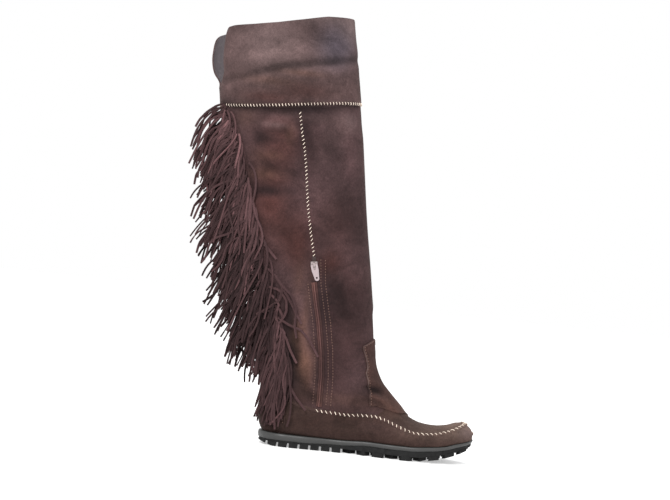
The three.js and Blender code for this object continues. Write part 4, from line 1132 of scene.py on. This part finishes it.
FORWARD_STRANDS = (
    ((-66, 262), (-62, 249), (-51, 237), (-40, 226), (-31, 217)),
    ((-22, 186), (-14, 176), (-6, 164), (-2, 157), (6, 145)),
    ((-24, 150), (-8, 142), (6, 138), (16, 128), (24, 117), (29, 109)),
    ((-18, 136), (-10, 126), (-4, 113), (5, 99)),
    ((-16, 120), (-8, 104), (-5, 88), (0, 72), (8, 60), (21, 46)),
    ((-30, 196), (-20, 186), (-8, 176), (-1, 160), (-2, 142), (2, 128)),
    ((-38, 184), (-24, 182), (-14, 170), (-13, 156), (-20, 142), (-26, 150), (-22, 166), (-34, 176)),
    ((-34, 168), (-22, 160), (-16, 150), (-20, 140), (-28, 138), (-30, 150), (-26, 160)),
    ((-30, 150), (-20, 140), (-12, 132), (-14, 120), (-24, 118), (-34, 126)),
    ((-40, 205), (-28, 196), (-20, 184), (-22, 170), (-34, 160), (-48, 150)),
)


def drape(x, z, side, layer, gather):
    """Lifts a side path off the skin: y for each place, at least a layer above what is under it."""
    under = np.abs(skin(*on_skin(zip(x, z), side))[:, 1]) + layer
    reach = np.maximum(under, under[0] * gather)
    for _ in range(5):
        relax(reach)
        reach[-1] = (reach[-1] + reach[-2]) / 2
        reach = np.maximum(reach, under - 0.3)
    return side * reach


def fringe(side, label):
    """One side's strips, some steep and some standing out, gathered in clumps, and their sewn edge."""
    random = np.random.default_rng(11 if side < 0 else 12)
    strips = []
    s = np.linspace(0, 1, STRIP_STEPS)
    for k in range(STRIPS):
        share = (k + random.uniform(0, 1)) / STRIPS
        clump = np.random.default_rng(500 + 7 * int(share * CLUMPS) + side)
        hang = clump.uniform(0, 22)
        shadow = clump.uniform(0.82, 1.14)
        middle = ROOT[int((int(share * CLUMPS) + 0.5) / CLUMPS * (len(ROOT) - 1))]
        length = FRINGE_LENGTH * clump.uniform(0.93, 1.06) * random.uniform(0.84, 1.1)
        root = ROOT[int((0.005 + 0.99 * share) * (len(ROOT) - 1))]
        by_heel = share < HEEL_SHARE
        steep = by_heel or random.uniform(0, 1) < STEEP_SHARE
        start = random.normal(8, 26) if steep else random.normal(82, 13)
        settle = random.uniform(0.1, 0.3) if steep else random.uniform(0.18, 0.42)
        end = 0.5 * hang + random.normal(2, 7) if steep else hang + random.normal(0, 7)
        if not steep:
            length *= 0.94 - 0.16 * float(smooth((share - 0.68) / 0.2))
        if by_heel:
            end = random.uniform(-6, 9) + 60 * share
            drop = root[1] - random.uniform(20, 50)
            length = min(1.15 * length, drop / math.cos(math.radians(end)))
        under = random.uniform(0, 1)
        wave = random.normal(0, 12) * np.sin(random.uniform(3, 12) * s + random.uniform(0, 6))
        angle = np.radians(end + (start - end) * np.exp(-s / settle) + wave)
        run = np.cumsum(np.stack([np.sin(angle), np.cos(angle)]), 1) * length / STRIP_STEPS
        lowest = LOWEST_TIP + TIP_SCATTER * under
        if root[0] - run[0, -1] < BEHIND_HEEL and root[1] - run[1, -1] < lowest:
            run = run * max(0.3, (root[1] - lowest) / run[1, -1])
        gather = (0.0 if by_heel else random.uniform(0, 0.75)) * s**1.5
        x = root[0] + random.uniform(-3, 1.5) - run[0] + (middle[0] - root[0]) * gather
        z = root[1] + random.uniform(-2, 2) - run[1] + (middle[1] - root[1]) * gather
        reach = max(1, (root[0] - x.min()) / (root[0] + FRINGE_REACH))
        x = root[0] + (x - root[0]) / reach
        z = np.maximum(z, FLOOR_GAP + ROOT_GAP * (1 - s))
        rise = 3.2 if steep else 1.9
        layer = rise + 6 * under * np.sin(s * math.pi) ** 0.7 + 2.4 * under
        y = drape(x, z, side, layer, 1 - random.uniform(0.1, 0.6) * s**1.3)
        width = random.uniform(1.8, 2.8)
        twist = random.normal(0, 0.4) + random.normal(0, 0.9) * s**2
        lit = np.interp(share, LIT_AT, LIT) + (0.14 if steep else -0.1)
        # Painted shade on strips lying close to the skin, under the others
        tone = lit * shadow * (0.72 + 0.42 * under) * random.uniform(0.86, 1.14)
        strips.append((np.stack([x, y, z], 1), width, twist, tone))
    for line in (*FORWARD_STRANDS, *STRAYS) if side < 0 else ():
        points = along_line(line, 0.5)
        at = (s * (len(points) - 1)).astype(int)
        relax(points, 16)
        x, z = points[at].T
        y = drape(x, z, side, random.uniform(4.5, 7), 0.8)
        twist = 0.4 + random.uniform(-0.8, 0.8) * s
        strips.append((np.stack([x, y, z], 1), STRAND_WIDTH, twist, random.uniform(1.05, 1.3)))
    paths, widths, twists, tones = (np.array(values) for values in zip(*strips))
    ref = np.array([0.0, side, 0.0])
    rings, faces = bars(paths, ref, widths, STRIP_THICKNESS, twists, 0.9, STRIP_OUTLINE)
    tip = (1 + 0.12 * s**3)[:, None, None]
    shades = np.array(FRINGE_SHADE) * tones[:, None, None, None] * np.array(STRIP_TONES)[:, None] * tip
    build("fringe_strips_" + label, rings, faces, [STRIP], ["fringe_" + label],
          shades=np.clip(shades, 0, 1))
    points, normals = side_path(ROOT_LINE[1:], side, 0.0, 1.0, 8)
    sweep("fringe_edge_" + label, points, normals, FRINGE_EDGE, PANEL, (), FRINGE_SHADE)


for side, label in SIDES:
    fringe(side, label)

# Floor, light and camera
floor_mesh = bpy.data.meshes.new("floor")
floor_mesh.from_pydata([(-6, -6, 0), (6, -6, 0), (6, 6, 0), (-6, 6, 0)], [], [(0, 1, 2, 3)])
pale = plain("floor_white", FLOOR_SHADE, 0.8, 0.05, 0.0002, vary=0.01, scale=40)
glow = pale.node_tree.nodes["Principled BSDF"].inputs
glow["Emission Color"].default_value = (1, 1, 1, 1)
glow["Emission Strength"].default_value = 0.4
floor_mesh.materials.append(pale)
floor = add("floor", floor_mesh)

world = bpy.data.worlds.new("studio")
bpy.context.scene.world = world
world.use_nodes = True
sky = world.node_tree.nodes["Background"].inputs
sky["Color"].default_value = (1, 1, 1, 1)
sky["Strength"].default_value = 1.0


def softbox(name, spot, aim, size, power):
    light = bpy.data.lights.new(name, "AREA")
    light.shape = "DISK"
    light.size = size
    light.energy = power
    lamp = add(name, light)
    lamp.location = spot
    lamp.rotation_euler = (Vector(aim) - Vector(spot)).to_track_quat("-Z", "Y").to_euler()


softbox("key", (-0.5, -2.0, 1.3), (0, 0, 0.3), 0.8, 44)
softbox("side", (1.6, -1.2, 0.8), (0, 0, 0.2), 0.9, 6)
softbox("top", (0.1, 0.4, 1.9), (0, 0, 0.3), 1.0, 12)

roll = math.radians(6)
camera_data = bpy.data.cameras.new("camera")
camera_data.sensor_width = 36
camera_data.lens = 100.2
camera = add("camera", camera_data)
camera.matrix_world = Matrix(
    (
        (math.cos(roll), -math.sin(roll), 0, 0.03567),
        (0, 0, -1, -2.2),
        (math.sin(roll), math.cos(roll), 0, 0.2345),
        (0, 0, 0, 1),
    )
)
bpy.context.scene.camera = camera
bpy.context.scene.view_settings.view_transform = "Standard"
